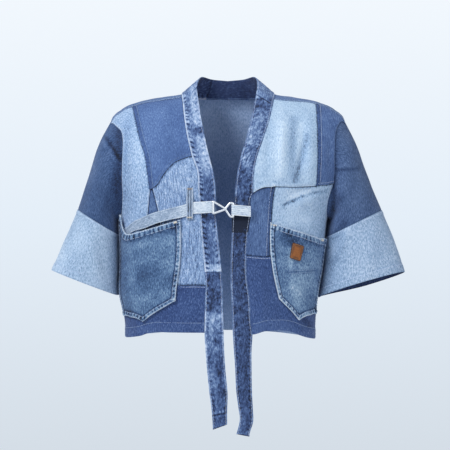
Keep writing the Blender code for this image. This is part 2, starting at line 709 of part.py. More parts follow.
def all_seams():
    """Every seam once, so that the pieces on both sides of it share its points."""
    right_neck = shoulder_point(-NECK_X)
    left_neck = shoulder_point(NECK_X)
    right_top = shoulder_point(-ARMHOLE_TOP_X)
    left_top = shoulder_point(ARMHOLE_TOP_X)
    left_armhole = LEFT_ARMHOLE_STRIP + LEFT_ARMHOLE_SIDE[1:]
    back_hem = [side_point(-1, RIGHT_CORNER_Z)] + BACK_HEM + [side_point(1, LEFT_CORNER_Z)]
    return {
        "right_shoulder_chest": shoulder(RIGHT_CHEST_TOP_X, -NECK_X),
        "right_shoulder_side": shoulder(-ARMHOLE_TOP_X, RIGHT_CHEST_TOP_X),
        "right_neck_chest": seam([right_neck] + RIGHT_NECK_CHEST),
        "right_neck_waist": seam(RIGHT_NECK_WAIST),
        "right_neck_hem": seam(RIGHT_NECK_HEM),
        "right_chest_side": seam([shoulder_point(RIGHT_CHEST_TOP_X)] + RIGHT_CHEST_SIDE),
        "right_pocket_curve": seam(RIGHT_POCKET_CURVE, STEP / 2),
        "right_wedge_top": seam(RIGHT_WEDGE_TOP),
        "right_wedge_side": seam(RIGHT_WEDGE_SIDE),
        "right_wedge_waist": seam(RIGHT_WEDGE_WAIST),
        "right_hem_side": seam(RIGHT_HEM_SIDE + [side_point(-1, RIGHT_HEM_SEAM_Z)]),
        "right_hem_wedge": seam(RIGHT_HEM_WEDGE),
        "right_hem_waist": seam(RIGHT_HEM_WAIST),
        "right_hem": level_seam(RIGHT_HEM + [side_point(-1, RIGHT_CORNER_Z)]),
        "right_armhole": seam([right_top] + RIGHT_ARMHOLE + [side_point(-1, RIGHT_UNDERARM_Z)]),
        "right_upper_side": straight_down(-1, RIGHT_UNDERARM_Z, RIGHT_HEM_SEAM_Z),
        "right_lower_side": straight_down(-1, RIGHT_HEM_SEAM_Z, RIGHT_CORNER_Z),
        "left_shoulder_chest": shoulder(NECK_X, LEFT_CHEST_TOP_X),
        "left_shoulder_strip": shoulder(LEFT_CHEST_TOP_X, ARMHOLE_TOP_X),
        "left_neck_chest": seam([left_neck] + LEFT_NECK_CHEST),
        "left_neck_centre": seam(LEFT_NECK_CENTRE),
        "left_neck_hem": seam(LEFT_NECK_HEM),
        "left_chest_strip": seam([shoulder_point(LEFT_CHEST_TOP_X)] + LEFT_CHEST_STRIP),
        "left_chest_centre": seam(LEFT_CHEST_CENTRE, STEP / 2),
        "left_chest_side": seam(LEFT_CHEST_SIDE),
        "left_strip_side": seam(LEFT_STRIP_SIDE),
        "left_centre_side": seam(LEFT_CENTRE_SIDE),
        "left_hem_centre": seam(LEFT_HEM_CENTRE),
        "left_hem_side": seam(LEFT_HEM_SIDE + [side_point(1, LEFT_HEM_SEAM_Z)]),
        "left_hem": level_seam(LEFT_HEM + [side_point(1, LEFT_CORNER_Z)]),
        "left_armhole_strip": seam([left_top] + LEFT_ARMHOLE_STRIP),
        "left_armhole_side": seam(LEFT_ARMHOLE_SIDE + [side_point(1, LEFT_UNDERARM_Z)]),
        "left_upper_side": straight_down(1, LEFT_UNDERARM_Z, LEFT_HEM_SEAM_Z),
        "left_lower_side": straight_down(1, LEFT_HEM_SEAM_Z, LEFT_CORNER_Z),
        "back_neck_right": neck_half(-1),
        "back_neck_left": neck_half(1),
        "back_armhole_right": back_armhole(-1, RIGHT_ARMHOLE, RIGHT_UNDERARM_Z),
        "back_armhole_left": back_armhole(1, left_armhole, LEFT_UNDERARM_Z),
        "back_side_right": straight_down(-1, RIGHT_UNDERARM_Z, RIGHT_CORNER_Z, on_back),
        "back_side_left": straight_down(1, LEFT_UNDERARM_Z, LEFT_CORNER_Z, on_back),
        "back_hem": level_seam(back_hem, BACK_ROLL, -1),
    }


SEAMS = all_seams()


def sewn(names):
    """The seams named, in order; a minus turns one round."""
    return [SEAMS[n[1:]][::-1] if n[0] == "-" else SEAMS[n] for n in names.split()]


# Each body piece: its name, its cloth, and its seams in order round it
BODY_PIECES = [
    (
        "back_panel",
        "denim_back",
        "right_shoulder_side right_shoulder_chest back_neck_right -back_neck_left left_shoulder_chest "
        "left_shoulder_strip back_armhole_left back_side_left -back_hem -back_side_right -back_armhole_right",
    ),
    (
        "front_right_chest",
        "denim_mid",
        "right_shoulder_chest right_neck_chest right_pocket_curve -right_wedge_top -right_chest_side",
    ),
    (
        "front_right_side",
        "denim_pale",
        "right_shoulder_side right_chest_side right_wedge_side right_hem_side -right_upper_side -right_armhole",
    ),
    (
        "front_right_waist",
        "denim_pale",
        "right_neck_waist right_hem_waist -right_wedge_waist -right_pocket_curve",
    ),
    (
        "front_right_wedge",
        "denim_dark",
        "right_wedge_top right_wedge_waist right_hem_wedge -right_wedge_side",
    ),
    (
        "front_right_hem",
        "denim_dark",
        "right_hem_waist right_hem_wedge right_hem_side right_lower_side -right_hem -right_neck_hem",
    ),
    (
        "front_left_chest",
        "denim_very_pale",
        "left_shoulder_chest left_chest_strip -left_chest_side -left_chest_centre -left_neck_chest",
    ),
    (
        "front_left_strip",
        "denim_mid",
        "left_shoulder_strip left_armhole_strip -left_strip_side -left_chest_strip",
    ),
    (
        "front_left_centre",
        "denim_mid",
        "left_neck_centre left_hem_centre -left_centre_side -left_chest_centre",
    ),
    (
        "front_left_side",
        "denim_pale",
        "left_chest_side left_strip_side left_armhole_side left_upper_side -left_hem_side -left_centre_side",
    ),
    (
        "front_left_hem",
        "denim_dark",
        "left_hem_centre left_hem_side left_lower_side -left_hem -left_neck_hem",
    ),
]


def make_body():
    for name, shade, names in BODY_PIECES:
        cut_piece(name, sewn(names), shade)


def oval(section, turns):
    """A sleeve section's points: turns run from the top line down the front and up the back."""
    top = np.array([section["top_x"], 0, section["top_z"]])
    under = np.array([section["under_x"], 0, section["under_z"]])
    middle = (top + under) / 2 + np.array([0, section["middle_y"], 0])
    angle = 2 * math.pi * turns
    points = middle + np.cos(angle)[:, None] * (top - under) / 2
    points[:, 1] -= np.sin(angle) * section["half_depth"]
    points[:, 2] += np.sin(angle) * section["tilt"]
    return points


def armhole_ring(front_names, back_name):
    """The armhole's points from its top down the front and up the back, and each one's turn."""
    front = np.concatenate([SEAMS[n][:-1] for n in front_names])
    back = SEAMS[back_name][::-1][:-1]
    sides = [surface(*front.T), surface(*back.T)]
    turns = []
    for start, side, end in ((0.0, sides[0], sides[1][0]), (0.5, sides[1], sides[0][0])):
        steps = np.linalg.norm(np.diff(np.vstack([side, end]), axis=0), axis=1)
        run = np.concatenate([[0], np.cumsum(steps)])
        turns.append(start + 0.5 * run[:-1] / run[-1])
    return np.concatenate(sides), np.concatenate(turns)


def sleeve_rings(sections, front_names, back_name):
    """A function from run (0 at the armhole, 1 at the cuff's seam, 2 at its edge) to a ring."""
    ring, turns = armhole_ring(front_names, back_name)
    rows = [{key: sections[key][i] for key in sections} for i in range(len(sections["run"]))]
    rings = [ring] + [oval(row, turns) for row in rows]
    runs = np.array([0.0] + list(sections["run"]))
    slopes = np.gradient(np.array(rings), runs, axis=0)

    def at(run):
        i = min(int(np.searchsorted(runs, run, side="right")) - 1, len(runs) - 2)
        width = runs[i + 1] - runs[i]
        t = (run - runs[i]) / width
        start = (1 + 2 * t) * (1 - t) ** 2 * rings[i] + t * (1 - t) ** 2 * width * slopes[i]
        return start + t * t * (3 - 2 * t) * rings[i + 1] + t * t * (t - 1) * width * slopes[i + 1]

    return at


def tube(name, rings, shade):
    """A hollow tube through rings that all have the same number of points."""
    grid = np.array(rings)
    rows, around = grid.shape[:2]
    along = np.gradient(grid, axis=0)
    about = np.roll(grid, -1, axis=1) - np.roll(grid, 1, axis=1)
    normals = np.cross(about, along)
    normals /= np.linalg.norm(normals, axis=2, keepdims=True)
    outwards = ((grid - grid.mean(axis=1, keepdims=True)) * normals).sum() > 0
    triangles = []
    for row in range(rows - 1):
        for i in range(around):
            a, b = row * around + i, row * around + (i + 1) % around
            triangles += [(a, b, b + around), (a, b + around, a + around)]
    if outwards:
        turned = triangles
    else:
        normals, turned = -normals, [t[::-1] for t in triangles]
    wall(name, grid.reshape(-1, 3), normals.reshape(-1, 3), turned, shade)


def make_sleeves():
    sides = [
        ("right", RIGHT_SLEEVE, ["right_armhole"], "back_armhole_right"),
        ("left", LEFT_SLEEVE, ["left_armhole_strip", "left_armhole_side"], "back_armhole_left"),
    ]
    for side, sections, front_names, back_name in sides:
        at = sleeve_rings(sections, front_names, back_name)
        leaving = at(ARMHOLE_ROW) - at(0)
        leaving /= np.linalg.norm(leaving, axis=1)[:, None]
        upper = [at(0) + ARMHOLE_GAP * leaving]
        upper += [at(run) for run in np.linspace(ARMHOLE_ROW, 1 - SEAM_SHARE, SLEEVE_ROWS)]
        cuff = [at(run) for run in np.linspace(1 + SEAM_SHARE, 2, CUFF_ROWS)]
        tube(f"sleeve_{side}_upper", upper, "denim_sleeve")
        tube(f"sleeve_{side}_cuff", cuff, "denim_cuff")


def band_edges(sign):
    """Both edges of one side's band from the centre back down to the end that hangs."""
    side = "right" if sign < 0 else "left"
    rows, tie = (RIGHT_BAND, RIGHT_TIE) if sign < 0 else (LEFT_BAND, LEFT_TIE)
    names = {"right": ["chest", "waist", "hem"], "left": ["chest", "centre", "hem"]}[side]
    neck = SEAMS[f"back_neck_{side}"][::-1]
    front = np.concatenate([SEAMS[f"{side}_neck_{n}"][:-1] for n in names] + [SEAMS[f"{side}_neck_hem"][-1:]])
    neck_points, front_points = surface(*neck.T), surface(*front.T)

    heights = front_points[:, 2]
    free_x = smooth(rows, "seam_z", "free_x", heights)
    free_z = smooth(rows, "seam_z", "free_z", heights)
    flush = surface(*np.array([on_front(x, z) for x, z in zip(free_x, free_z)]).T)
    start_y = NECK_FRONT_Y
    share = np.clip((heights[0] - heights) / NECK_BLEND, 0, 1)
    share = share * share * (3 - 2 * share)
    front_free = np.stack([free_x, start_y + share * (flush[:, 1] - start_y), free_z], 1)

    around = np.array([(sign * x, y, z) for x, y, z in NECK_FREE_EDGE] + [tuple(front_free[0])])
    neck_free = curve_through(around, count=len(neck) - 1)

    tie_foot = tie["seam_z"][0]
    tie_z = np.append(np.arange(heights[-1] - STEP, tie_foot + STEP / 2, -STEP), tie_foot)
    seam_xs = np.concatenate([tie["seam_x"], front_points[-1:, 0]])
    seam_zs = np.concatenate([tie["seam_z"], front_points[-1:, 2]])
    free_xs = np.concatenate([tie["free_x"], free_x[-1:]])
    free_zs = np.concatenate([tie["free_z"], free_z[-1:]])
    low = {"z": seam_zs, "seam_x": seam_xs, "free_x": free_xs, "free_z": free_zs}
    y = front_points[-1, 1]
    tie_seam = [(float(smooth(low, "z", "seam_x", z)), y, z) for z in tie_z]
    tie_free = [(float(smooth(low, "z", "free_x", z)), y, float(smooth(low, "z", "free_z", z))) for z in tie_z]

    seam_edge = np.concatenate([neck_points[:-1], front_points, tie_seam])
    free_edge = np.concatenate([neck_free[:-1], front_free, tie_free])
    inwards = free_edge - seam_edge
    inwards /= np.linalg.norm(inwards, axis=1)[:, None]
    stand_off = np.concatenate(
        [
            np.full(len(neck_points) - 1, NECK_STAND_OFF),
            SEAM_GAP / 2 + (NECK_STAND_OFF - SEAM_GAP / 2) * (1 - share),
            np.full(len(tie_z), SEAM_GAP / 2),
        ]
    )
    return seam_edge + stand_off[:, None] * inwards, free_edge


def run_of(edge):
    return np.concatenate([[0], np.cumsum(np.linalg.norm(np.diff(edge, axis=0), axis=1))])


def run_where(edge, z, sign):
    """The length along an edge at which it passes a height on one side's front."""
    runs = run_of(edge)
    front = (edge[:, 1] < 0) & (edge[:, 0] * sign > 0)
    order = np.argsort(edge[front, 2])
    return float(np.interp(z, edge[front, 2][order], runs[front][order]))


def stretch(runs, values, start, stop):
    """The rows of values between two lengths, with rows of their own at both ends."""
    kept = runs[(runs > start + STEP / 4) & (runs < stop - STEP / 4)]
    at = np.concatenate([[start], kept, [stop]])
    flat = values.reshape(len(values), -1)
    return np.stack([np.interp(at, runs, column) for column in flat.T], 1).reshape(-1, *values.shape[1:])


def make_band():
    """One doubled strip from end to end, cut at its joins."""
    right, left = band_edges(-1), band_edges(1)
    seam_edge = np.concatenate([right[0][::-1], left[0][1:]])
    free_edge = np.concatenate([right[1][::-1], left[1][1:]])
    runs = run_of(seam_edge)
    grid, normals = strip_grid(free_edge, seam_edge, BAND_COLUMNS)
    centre_back = runs[len(right[0]) - 1]
    joins = [
        run_where(seam_edge, RIGHT_END_JOIN_Z, -1),
        run_where(seam_edge, RIGHT_BAND_JOIN_Z, -1),
        centre_back - BAND_NECK_JOIN,
        run_where(seam_edge, LEFT_NECK_JOIN_Z, 1),
        run_where(seam_edge, LEFT_BAND_JOIN_Z, 1),
    ]
    gap = SEAM_GAP / 2
    starts = [runs[0]] + [join + gap for join in joins]
    stops = [join - gap for join in joins] + [runs[-1]]
    for name, start, stop in zip(BAND_PIECES, starts, stops):
        rows = stretch(runs, grid, start, stop)
        strip_wall(name, rows, stretch(runs, normals, start, stop), "denim_mottled", BAND_CLOTH)


def smooth_step(start, stop, value):
    share = np.clip((value - start) / (stop - start), 0, 1)
    return share * share * (3 - 2 * share)


def pocket_lift(across, down):
    z = bare_surface(across, down)[:, 2]
    lift = np.full(len(across), POCKET_LIFT)
    for i, height in enumerate(POCKET_SWELLS["height"]):
        aside = (across - POCKET_SWELLS["across"][i]) / POCKET_SWELLS["half_across"][i]
        above = (z - POCKET_SWELLS["z"][i]) / POCKET_SWELLS["half_z"][i]
        lift += height * np.exp(-(aside**2) - above**2)
    return lift


def make_pockets():
    for name, sides, find in (
        ("pocket_right", RIGHT_POCKET, round_the_side),
        ("pocket_left", LEFT_POCKET, on_front),
    ):
        cut_piece(name, [seam(side, STEP, find) for side in sides], "denim_pocket", pocket_lift)
    corners = [on_front(x, z) for x, z in POCKET_LABEL]
    sides = [curve_through([a, b], STEP / 2) for a, b in zip(corners, corners[1:] + corners[:1])]

    def label_lift(across, down):
        return pocket_lift(across, down) + LABEL_LIFT

    cut_piece("pocket_label", sides, "leather", label_lift, LEATHER, STEP / 2)


def belt_lift(across, down):
    return np.full(len(across), BELT_LIFT)


def make_belt():
    upper = [(x, z) for x, z in zip(BELT_RIGHT["x"], BELT_RIGHT["upper"])]
    lower = [(x, z) for x, z in zip(BELT_RIGHT["x"], BELT_RIGHT["lower"])]
    sides = [upper, [upper[-1], lower[-1]], lower[::-1], [lower[0], upper[0]]]
    places = [seam(side) for side in sides]
    cut_piece("belt_right", places, "denim_belt", belt_lift, BELT_CLOTH)

    loop_x = np.array(LOOP_X)
    share = np.linspace(0, 1, LOOP_ROWS + 1)
    heights = LOOP_Z[0] + share * (LOOP_Z[1] - LOOP_Z[0])
    low = CLOTH + SEAM_GAP
    lifts = low + (LOOP_LIFT - low) * smooth_step(*LOOP_RISE, share)
    lifts *= 1 - LOOP_RETURN_DEPTH * smooth_step(*LOOP_RETURN, share)
    edges = []
    for x in loop_x:
        places = np.array([on_front(x, z) for z in heights])
        edges.append(surface(places[:, 0], places[:, 1], lifts))
    strip("belt_loop", edges[0], edges[1], "denim_pale", CLOTH)

    turn = np.linspace(0, math.pi, TAB_TURN_ROWS + 1)
    xs = np.concatenate([STRAP_OUTER_X, BUCKLE_RIGHT_X - TAB_TURN * np.sin(turn), STRAP_INNER_X])
    over = np.concatenate([np.ones(len(STRAP_OUTER_X)), np.cos(turn), -np.ones(len(STRAP_INNER_X))])
    places = np.array([on_front(x, sum(TAB_Z) / 2) for x in xs])
    edges = []
    for z in TAB_Z:
        edge = surface(places[:, 0], places[:, 1], BUCKLE_LIFT + TAB_TURN * over)
        edge[:, 2] = np.interp(xs, STRAP_EDGE_X, (z, z + TAB_FALL))
        edges.append(edge)
    strip("belt_left", edges[0], edges[1], "denim_belt", CLOTH)


def bar(name, start, end, y, hidden):
    """A flat metal bar between two points of the buckle's plane."""
    start, end = np.array(start), np.array(end)
    run = end - start
    half = np.array([0.5 * np.linalg.norm(run) + 0.5 * BUCKLE_BAR, 0.5 * BUCKLE_DEPTH, 0.5 * BUCKLE_BAR])
    corners = [(i, j, k) for i in (-1, 1) for j in (-1, 1) for k in (-1, 1)]
    faces = [(0, 1, 3, 2), (4, 6, 7, 5), (0, 4, 5, 1), (2, 3, 7, 6), (0, 2, 6, 4), (1, 5, 7, 3)]
    made = add_object(name, [half * corner for corner in corners], faces, "nickel")
    made.rotation_euler = (0, -math.atan2(run[1], run[0]), 0)
    middle = (start + end) / 2
    made.location = (middle[0], y, middle[1])
    made.hide_render = hidden
    if hidden:
        made.display_type = "WIRE"
    return made


def make_buckle():
    """Two upright bars, and two pairs of arms that meet at the waist between them."""
    waist = (BUCKLE_WAIST_X, BUCKLE_Z)
    y = float(surface(*on_front(BUCKLE_RIGHT_X, BUCKLE_Z), BUCKLE_LIFT)[1])
    left, shoulders, right = (
        [(x, BUCKLE_Z + BUCKLE_TILT * (x - BUCKLE_WAIST_X) + way * half) for way in (-1, 1)]
        for x, half in (
            (BUCKLE_LEFT_X, BUCKLE_LEFT_HALF),
            (BUCKLE_SHOULDER_X, BUCKLE_RIGHT_HALF),
            (BUCKLE_RIGHT_X, BUCKLE_RIGHT_HALF),
        )
    )
    buckle = bar("buckle", *left, y, False)
    others = [right, (left[0], waist), (left[1], waist)]
    others += [(shoulders[0], waist), (shoulders[1], waist)]
    others += [(shoulders[0], right[0]), (shoulders[1], right[1])]
    for number, (start, end) in enumerate(others):
        joined = buckle.modifiers.new(f"arm_{number}", "BOOLEAN")
        joined.operation = "UNION"
        joined.object = bar(f"buckle_arm_{number}", start, end, y, True)


make_body()
make_sleeves()
make_band()
make_pockets()
make_belt()
make_buckle()
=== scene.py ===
import math

import bpy
import numpy as np
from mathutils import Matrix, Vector
from mathutils.geometry import delaunay_2d_cdt


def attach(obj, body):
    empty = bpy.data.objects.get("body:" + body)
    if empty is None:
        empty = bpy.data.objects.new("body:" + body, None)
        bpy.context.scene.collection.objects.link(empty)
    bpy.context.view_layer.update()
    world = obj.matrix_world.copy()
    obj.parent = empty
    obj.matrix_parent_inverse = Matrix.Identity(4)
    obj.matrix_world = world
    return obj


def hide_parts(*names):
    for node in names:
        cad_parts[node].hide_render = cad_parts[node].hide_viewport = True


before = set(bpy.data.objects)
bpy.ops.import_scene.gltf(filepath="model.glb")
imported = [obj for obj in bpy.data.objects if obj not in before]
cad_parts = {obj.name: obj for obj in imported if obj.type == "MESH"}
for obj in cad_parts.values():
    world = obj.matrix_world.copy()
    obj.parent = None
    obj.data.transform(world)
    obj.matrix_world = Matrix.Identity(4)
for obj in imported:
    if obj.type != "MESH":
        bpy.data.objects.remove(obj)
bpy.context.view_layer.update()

# A worn denim patchwork jacket, dressed over its solids. Metres; +X is the wearer's left, -Y the
# front, +Z up. A body piece is cut out of the garment surface, which two lengths measure: across
# (round the body from the centre line) and down (from the ridge of the shoulder). The tables down to
# the belt's repeat the sizes of the solids.

LATTICE = 0.0040  # between points in the middle of a piece
STEP = 0.0020  # between points along a seam
CORNER = 1e-9
BAND_CLOTH = 0.0028
ROWS = (0.0009, 0.0022, 0.0042, 0.0070)  # rows of points beside a seam, by their distance
CLOTH = 0.0015
SEAM_GAP = 0.0001

QUARTER_ROUND = 0.310
PLAN_POWER = 2.15
FRONT_ROLL = 0.200
BACK_ROLL = 0.060


def table(columns, rows):
    """The rows sorted by their first value, as one array for each named column."""
    return dict(zip(columns.split(), np.array(sorted(rows), float).T))


def ridges(rows):
    """Lines, each as x and z of its top and of its foot, its half width, and its height or strength."""
    return np.array(sorted(rows), float)


# The shoulder ridge, from the neck out to the top of the armhole
RIDGE = table("x z", [
    (0.0, .03), (.05, .026), (.085, .015), (.108, .006), (.15, -.001), (.215, -.014), (.252, -.031),
    (.276, -.057), (.281, -.07),
])
# Half widths to the wearer's right and left, and how far the cloth stands to the front and back
BODY = table("z right left front back", [
    (.03, .281, .281, .1, .105), (-.06, .281, .281, .112, .112), (-.13, .276, .271, .121, .124),
    (-.2, .267, .257, .125, .127), (-.28, .2555, .2365, .118, .117), (-.34, .252, .229, .12, .112),
    (-.41, .253, .22, .123, .113), (-.47, .2545, .211, .124, .115), (-.51, .2475, .208, .124, .116),
    (-.56, .2425, .206, .123, .118),
])
# The largest soft folds, as in the solids: a line from top to foot, its half width, and its height
FRONT_FOLDS = ridges([
    (.128, -.03, .124, -.205, .015, .004), (.166, -.045, .172, -.215, .013, -.005),
    (.196, -.06, .19, -.21, .013, .0035), (-.15, -.05, -.128, -.15, .016, .0025),
    (-.215, -.075, -.222, -.29, .014, .004), (.13, -.238, .235, -.208, .009, -.0045),
    (.15, -.262, .225, -.236, .012, .0035), (.075, -.42, .078, -.56, .014, .003),
    (-.09, -.46, -.092, -.56, .016, .003), (-.16, -.5, -.17, -.57, .018, -.003),
])
BACK_FOLDS = ridges([
    (-.165, -.1, -.19, -.42, .02, .006), (-.12, -.24, -.125, -.56, .02, -.005),
    (-.04, -.33, -.03, -.56, .022, .0045), (.06, -.28, .075, -.56, .02, -.0045),
    (.15, -.11, .18, -.46, .022, .006),
])
# Smaller creases, which only the cloth has: on the left side piece, chest and strip, on the right
# chest, side and waist, and on the hems
FRONT_CREASES = ridges([
    (.128, -.26, .15, -.249, .0035, -.0028), (.15, -.249, .172, -.2375, .0032, -.0028),
    (.172, -.2375, .231, -.224, .0035, -.0024), (.15, -.24, .212, -.219, .006, .0022),
    (.19, -.28, .232, -.256, .006, -.0016), (.098, -.06, .088, -.19, .007, -.0014),
    (.126, -.06, .12, -.195, .009, .002), (.151, -.06, .148, -.195, .006, -.0016),
    (.171, -.065, .164, -.16, .006, .0018), (.184, -.1, .155, -.207, .0055, -.0024),
    (.096, -.19, .196, -.176, .008, .001), (.222, -.07, .224, -.205, .008, .0014),
    (.238, -.1, .236, -.2, .005, -.0012), (-.13, -.03, -.12, -.14, .008, -.0014),
    (-.178, -.06, -.16, -.18, .008, .0014), (-.196, -.15, -.176, -.214, .005, .0016),
    (-.235, -.11, -.228, -.26, .006, -.0015), (-.205, -.13, -.214, -.26, .006, .0014),
    (-.15, -.2, -.092, -.238, .005, .0009), (-.14, -.226, -.084, -.246, .005, -.0009),
    (-.085, -.3, -.112, -.43, .006, .0009), (.118, -.47, .124, -.548, .009, -.0018),
    (.16, -.5, .168, -.556, .009, .0018), (-.07, -.47, -.068, -.55, .008, .0014),
    (-.12, -.5, -.128, -.552, .009, -.0016), (-.205, -.52, -.215, -.56, .009, .0018),
])
BACK_CREASES = ridges([
    (-.215, -.06, -.15, -.16, .011, .0026), (.215, -.06, .15, -.16, .011, .0026),
    (-.235, -.19, -.17, -.24, .007, -.0022), (.235, -.19, .165, -.235, .007, -.0022),
    (-.225, -.26, -.15, -.3, .008, .002), (.222, -.255, .145, -.31, .008, .002),
    (-.085, -.38, -.08, -.56, .01, .0022), (.02, -.4, .025, -.56, .01, -.002),
    (.12, -.36, .128, -.56, .01, .0024), (-.19, -.43, -.2, -.56, .011, .0026),
    (-.06, -.06, .06, -.064, .01, .0014),
])

# Seams of the fronts, as x and z, from the top down or the centre out. The back's armholes mirror theirs
PATHS = {
    "right_neck_chest": [(-.102, -.052), (-.095, -.095), (-.083, -.146)],
    "right_neck_waist": [
        (-.083, -.146), (-.07, -.184), (-.068, -.227), (-.064, -.284), (-.06, -.342), (-.055, -.39),
        (-.051, -.445),
    ],
    "right_neck_hem": [(-.051, -.445), (-.053, -.5), (-.054, -.552)],
    "right_chest_side": [(-.206, -.098), (-.19, -.152), (-.182, -.209), (-.18, -.222)],
    "right_pocket_curve": [
        (-.083, -.146), (-.103, -.152), (-.122, -.16), (-.138, -.175), (-.151, -.192), (-.165, -.213),
        (-.174, -.22),
    ],
    "right_wedge_top": [(-.18, -.222), (-.174, -.22)],
    "right_wedge_side": [(-.18, -.222), (-.186, -.277), (-.19, -.34), (-.192, -.448)],
    "right_wedge_waist": [(-.174, -.22), (-.167, -.247), (-.16, -.277), (-.155, -.34), (-.15, -.446)],
    "right_hem_side": [(-.192, -.448), (-.222, -.45)],
    "right_hem_wedge": [(-.15, -.446), (-.192, -.448)],
    "right_hem_waist": [(-.051, -.445), (-.115, -.444), (-.15, -.446)],
    "right_hem": [
        (-.054, -.552), (-.131, -.5525), (-.174, -.5535), (-.19, -.5575), (-.201, -.562), (-.218, -.566),
        (-.2365, -.5695),
    ],
    "left_neck_chest": [(.098, -.054), (.081, -.107), (.066, -.151), (.058, -.207), (.058, -.231)],
    "left_neck_centre": [(.058, -.231), (.053, -.243), (.051, -.289), (.046, -.321), (.042, -.376)],
    "left_neck_hem": [(.042, -.376), (.042, -.413), (.05, -.482), (.052, -.525), (.056, -.556)],
    "left_chest_strip": [(.209, -.083), (.208, -.154), (.205, -.214)],
    "left_chest_centre": [(.058, -.231), (.069, -.224), (.081, -.219), (.107, -.216)],
    "left_chest_side": [(.107, -.216), (.158, -.217), (.182, -.216), (.205, -.214)],
    "left_strip_side": [(.205, -.214), (.226, -.211), (.248, -.208)],
    "left_centre_side": [(.107, -.216), (.102, -.254), (.099, -.294), (.096, -.339), (.095, -.378)],
    "left_hem_centre": [(.042, -.376), (.069, -.378), (.095, -.378)],
    "left_hem_side": [(.095, -.378), (.155, -.384)],
    "left_hem": [
        (.056, -.556), (.085, -.549), (.108, -.548), (.132, -.549), (.15, -.5535), (.169, -.562),
        (.181, -.5665), (.197, -.5715),
    ],
    "right_armhole": [
        (-.262, -.0735), (-.2515, -.0835), (-.2475, -.095), (-.246, -.134), (-.248, -.19), (-.247, -.246),
        (-.249, -.274),
    ],
    "left_armhole_strip": [(.262, -.066), (.254, -.084), (.25, -.134), (.248, -.208)],
    "left_armhole_side": [(.248, -.208), (.242, -.223), (.233, -.26), (.2325, -.273)],
}

# The shoulder seams lie this far in front of the ridge and below it
SHOULDER_SEAM = table("x right_drop left_drop", [
    (.108, .009, .015), (.16, .009, .011), (.208, .008, .007), (.25, .007, .006), (.278, .005, .005),
])
NECK_X, ARMHOLE_TOP_X = 0.109, 0.277
RIGHT_CHEST_TOP_X, LEFT_CHEST_TOP_X = -0.226, 0.208
# Where a seam that starts at the shoulder does so
SHOULDER_STARTS = {
    "right_neck_chest": -NECK_X, "right_chest_side": RIGHT_CHEST_TOP_X, "right_armhole": -ARMHOLE_TOP_X,
    "left_neck_chest": NECK_X, "left_chest_strip": LEFT_CHEST_TOP_X, "left_armhole_strip": ARMHOLE_TOP_X,
}
BACK_NECK = [(0.108, 0.000), (0.095, 0.006), (0.060, 0.020), (0.000, 0.026)]  # x, drop behind the ridge
BACK_HEM = [(-.218, -.57), (-.12, -.566), (0.0, -.564), (.11, -.567), (.181, -.5725)]
# Each side's sign, and the heights on its side seam of the underarm, the hem's seam and the corner
SIDES = {"right": (-1, -0.285, -0.456, -0.5705), "left": (1, -0.281, -0.392, -0.5745)}

# The free edge of the band beside each point of its seam; below the hem both edges hang
RIGHT_BAND = table("seam_z free_x free_z", [
    (-.004, -.074, .02), (-.052, -.064, -.048), (-.095, -.055, -.094), (-.146, -.044, -.145),
    (-.184, -.034, -.183), (-.227, -.028, -.226), (-.284, -.027, -.284), (-.342, -.022, -.342),
    (-.39, -.017, -.39), (-.445, -.013, -.445), (-.5, -.012, -.5), (-.552, -.01, -.552),
])
LEFT_BAND = table("seam_z free_x free_z", [
    (-.01, .069, .016), (-.054, .055, -.051), (-.107, .041, -.108), (-.151, .028, -.152),
    (-.207, .018, -.207), (-.243, .015, -.243), (-.289, .01, -.289), (-.342, .008, -.342),
    (-.413, .006, -.413), (-.482, .008, -.482), (-.556, .011, -.556),
])
RIGHT_TIE = table("seam_z seam_x free_x free_z", [
    (-.59, -.052, -.009, -.588), (-.64, -.048, -.006, -.637), (-.697, -.042, -.001, -.693),
    (-.738, -.037, -.002, -.731), (-.774, -.035, -.002, -.762),
])
LEFT_TIE = table("seam_z seam_x free_x free_z", [
    (-.59, .054, .013, -.589), (-.63, .054, .016, -.629), (-.69, .055, .019, -.688),
    (-.728, .057, .024, -.726), (-.752, .058, .027, -.748), (-.79, .049, .019, -.784),
])
# The free edge of the band round the neck, from the centre back to the shoulder, as x, y and z
NECK_FREE_EDGE = [(0.000, .08, .046), (.038, .073, .049), (.06, .045, .052), (.068, .012, .044)]

# Sleeve sections: the points on the top and the underarm line, half the depth, the middle's y, and
# how much higher the front is than the middle
RIGHT_SLEEVE = table("run top_x top_z under_x under_z half_depth middle_y tilt", [
    (.22, -.3, -.1, -.263, -.295, .06, 0.0, 0.0), (.5, -.33, -.19, -.2625, -.308, .065, -.002, 0.0),
    (1.0, -.3552, -.268, -.2615, -.327, .067, -.005, .001),
    (1.5, -.384, -.335, -.2615, -.395, .067, -.008, .002),
    (2.0, -.417, -.412, -.2635, -.4711, .066, -.01, .003),
])
LEFT_SLEEVE = table("run top_x top_z under_x under_z half_depth middle_y tilt", [
    (.22, .298, -.1, .244, -.291, .056, 0.0, 0.0), (.5, .33, -.186, .241, -.306, .058, -.002, 0.0),
    (1.0, .364, -.27, .237, -.332, .056, -.005, .002),
    (1.5, .3952, -.3455, .229, -.402, .053, -.008, .005),
    (2.0, .4183, -.4169, .218, -.4757, .05, -.01, .009),
])
# The band round the neck: where its free edge passes the shoulder, and its joins
NECK_FRONT_Y = -0.030
NECK_BLEND = 0.055
NECK_STAND_OFF = 0.0009
NECK_LAP, NECK_LAP_OUT = 0.0045, 0.0012  # how far the band's cloth laps over the back panel
BAND_NECK_JOIN = 0.045
BAND_PIECES = (
    "band_right_end", "band_right_lower", "band_right_upper", "band_neck", "band_left_upper",
    "band_left_lower",
)
RIGHT_BAND_JOIN_Z = -0.413
RIGHT_END_JOIN_Z = -0.738
LEFT_NECK_JOIN_Z = -0.012
LEFT_BAND_JOIN_Z = -0.320

